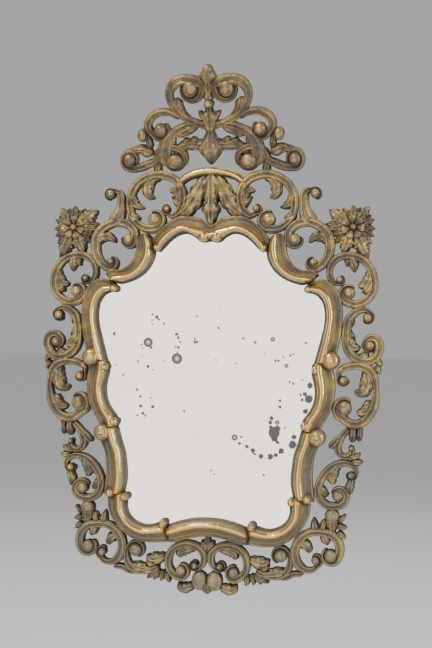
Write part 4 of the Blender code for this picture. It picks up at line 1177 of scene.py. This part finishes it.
def makeBrads(finish):
    # Brads driven into the rebate's wall all round, lying across the back of the board
    tree, size = nodeTree("brads round the board", {
        "Count": "NodeSocketInt", "Length": "NodeSocketFloat", "Radius": "NodeSocketFloat"})
    line = addNode(tree, "GeometryNodeMeshToCurve", inputs={"Mesh": size["Geometry"]})
    spaced = addNode(tree, "GeometryNodeResampleCurve", inputs={"Curve": line, "Count": size["Count"]})
    brad = addNode(tree, "GeometryNodeMeshCylinder", inputs={
        "Vertices": hanger["bradSides"], "Depth": size["Length"], "Radius": size["Radius"]})
    outwards = addNode(tree, "ShaderNodeVectorMath", {"operation": "CROSS_PRODUCT"},
                       {0: addNode(tree, "GeometryNodeInputTangent"), 1: (0, 1, 0)})
    aim = addNode(tree, "FunctionNodeAlignRotationToVector", inputs={"Vector": outwards})
    putOut(tree, finish, Points=spaced, Instance=brad, Rotation=aim)
    boardBack = (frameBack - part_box("backboard")[1][1]) / unit
    line = np.array(rebateLine())
    points = framePlace(line[:, 0], line[:, 1], np.full(len(line), boardBack - hanger["bradRadius"] - 0.1))
    mesh = bpy.data.meshes.new("brad line")
    count = len(points)
    mesh.from_pydata(points.tolist(), [(i, (i + 1) % count) for i in range(count)], [])
    return grown("brads", mesh, tree, {"Count": hanger["bradCount"], "Length": hanger["bradLength"] * unit,
                                       "Radius": hanger["bradRadius"] * unit})


def makeScrews(finish):
    # The same screw head in both sunk holes of the plate
    head = placed("screw head", makeScrewHead())
    tree, size = nodeTree("screws of the plate", {"Head": "NodeSocketObject"})
    shape = addNode(tree, "GeometryNodeObjectInfo", inputs={"Object": size["Head"]}, output="Geometry")
    putOut(tree, finish, Points=size["Geometry"], Instance=shape)
    mesh = bpy.data.meshes.new("screw places")
    spread, drop = hanger["screwSpread"] * unit, hanger["screwDrop"] * unit
    mesh.from_pydata([(side * spread, 0.0, -drop) for side in (-1, 1)], [], [])
    made = grown("screws", mesh, tree, {"Head": head})
    bpy.data.objects.remove(head, do_unlink=True)
    return made


frameMesh = carveFrame()
dropCrumbs(frameMesh)
readSurface(frameMesh, frameRelief, giltMarks, 0.38)
frameFinish = giltFinish("worn gilding", gilding["frame"])
finishedPiece("carved_frame", frameMesh, frameFinish, "frame")
print("frame carved:", sum(len(face.vertices) - 2 for face in frameMesh.polygons), "triangles")

crestMesh = carveCrest()
dropCrumbs(crestMesh)
readSurface(crestMesh, crestRelief, [], 0.42)
finishedPiece("carved_crest", crestMesh, giltFinish("browner gilding", gilding["crest"]), "crest")
print("cresting carved:", sum(len(face.vertices) - 2 for face in crestMesh.polygons), "triangles")

for nodeName, finish in (("mirror_glass", glassFinish()), ("backboard", boardFinish())):
    solid = frame["nodes"][nodeName]
    for slot in solid.material_slots:
        slot.material = finish
print("glass and board finished")

iron = ironFinish("dark iron", (0.14, 0.135, 0.13), (0.24, 0.11, 0.05))
finishedPiece("iron_plate", makeHangingPlate(), iron, "hanging_plate")
steel = ironFinish("old steel", (0.30, 0.29, 0.28), (0.20, 0.11, 0.06))
finishedPiece("board_brads", makeBrads(steel), steel)
finishedPiece("plate_screws", makeScrews(steel), steel)
print("back finished")

def makeStage():
    level = cadBox[0][2] - studio["floorDrop"]
    reach = studio["floorSize"] / 2
    mesh = bpy.data.meshes.new("floor")
    corners = [(x * reach, y * reach, level) for x, y in ((-1, -1), (1, -1), (1, 1), (-1, 1))]
    mesh.from_pydata(corners, [], [(0, 1, 2, 3)])
    floor = placed("floor", mesh)
    pale = Finish("pale floor")
    mesh.materials.append(pale.feed(Base_Color=colour(0.86, 0.855, 0.85), Roughness=0.9))
    world = bpy.data.worlds.new("studio")
    world.use_nodes = True
    sky = world.node_tree.nodes["Background"].inputs
    sky["Color"].default_value = colour(studio["skyTone"], studio["skyTone"], studio["skyTone"])
    sky["Strength"].default_value = studio["skyPower"]
    bpy.context.scene.world = world


def makeCamera():
    eye, *turned = photoView()
    data = bpy.data.cameras.new("camera")
    data.sensor_width = studio["sensor"]
    data.lens = studio["lens"]
    camera = placed("camera", data)
    camera.matrix_world = Matrix(turned).transposed().to_4x4()
    camera.location = eye
    bpy.context.scene.camera = camera


def softLight(name, place, aim, size, power, tint):
    data = bpy.data.lights.new(name, "AREA")
    data.shape = "RECTANGLE"
    data.size, data.size_y = size
    data.energy = power
    data.color = tint
    light = placed(name, data)
    light.location = place
    light.rotation_euler = (Vector(aim) - Vector(place)).to_track_quat("-Z", "Y").to_euler()


softLights = {  # place, aim, size, power, tint
    "window": ((-0.45, -2.36, 0.10), (-0.45, 0.0, 0.10), (2.3, 2.4), 36, (1.0, 0.97, 0.93)),
    "warm key": ((-0.8, -1.0, 1.9), (0.0, 0.0, -0.2), (0.45, 0.45), 46, (1.0, 0.92, 0.80)),
    "cool side": ((2.2, -0.55, 0.1), (0.0, 0.0, -0.25), (0.4, 1.6), 30, (0.74, 0.86, 1.0)),
    "back light": ((0.5, 2.2, 1.6), (0.0, 0.0, -0.2), (1.8, 1.8), 20, (1.0, 0.98, 0.95)),
}
makeStage()
makeCamera()
for name, light in softLights.items():
    softLight(name, *light)
print("stage set")
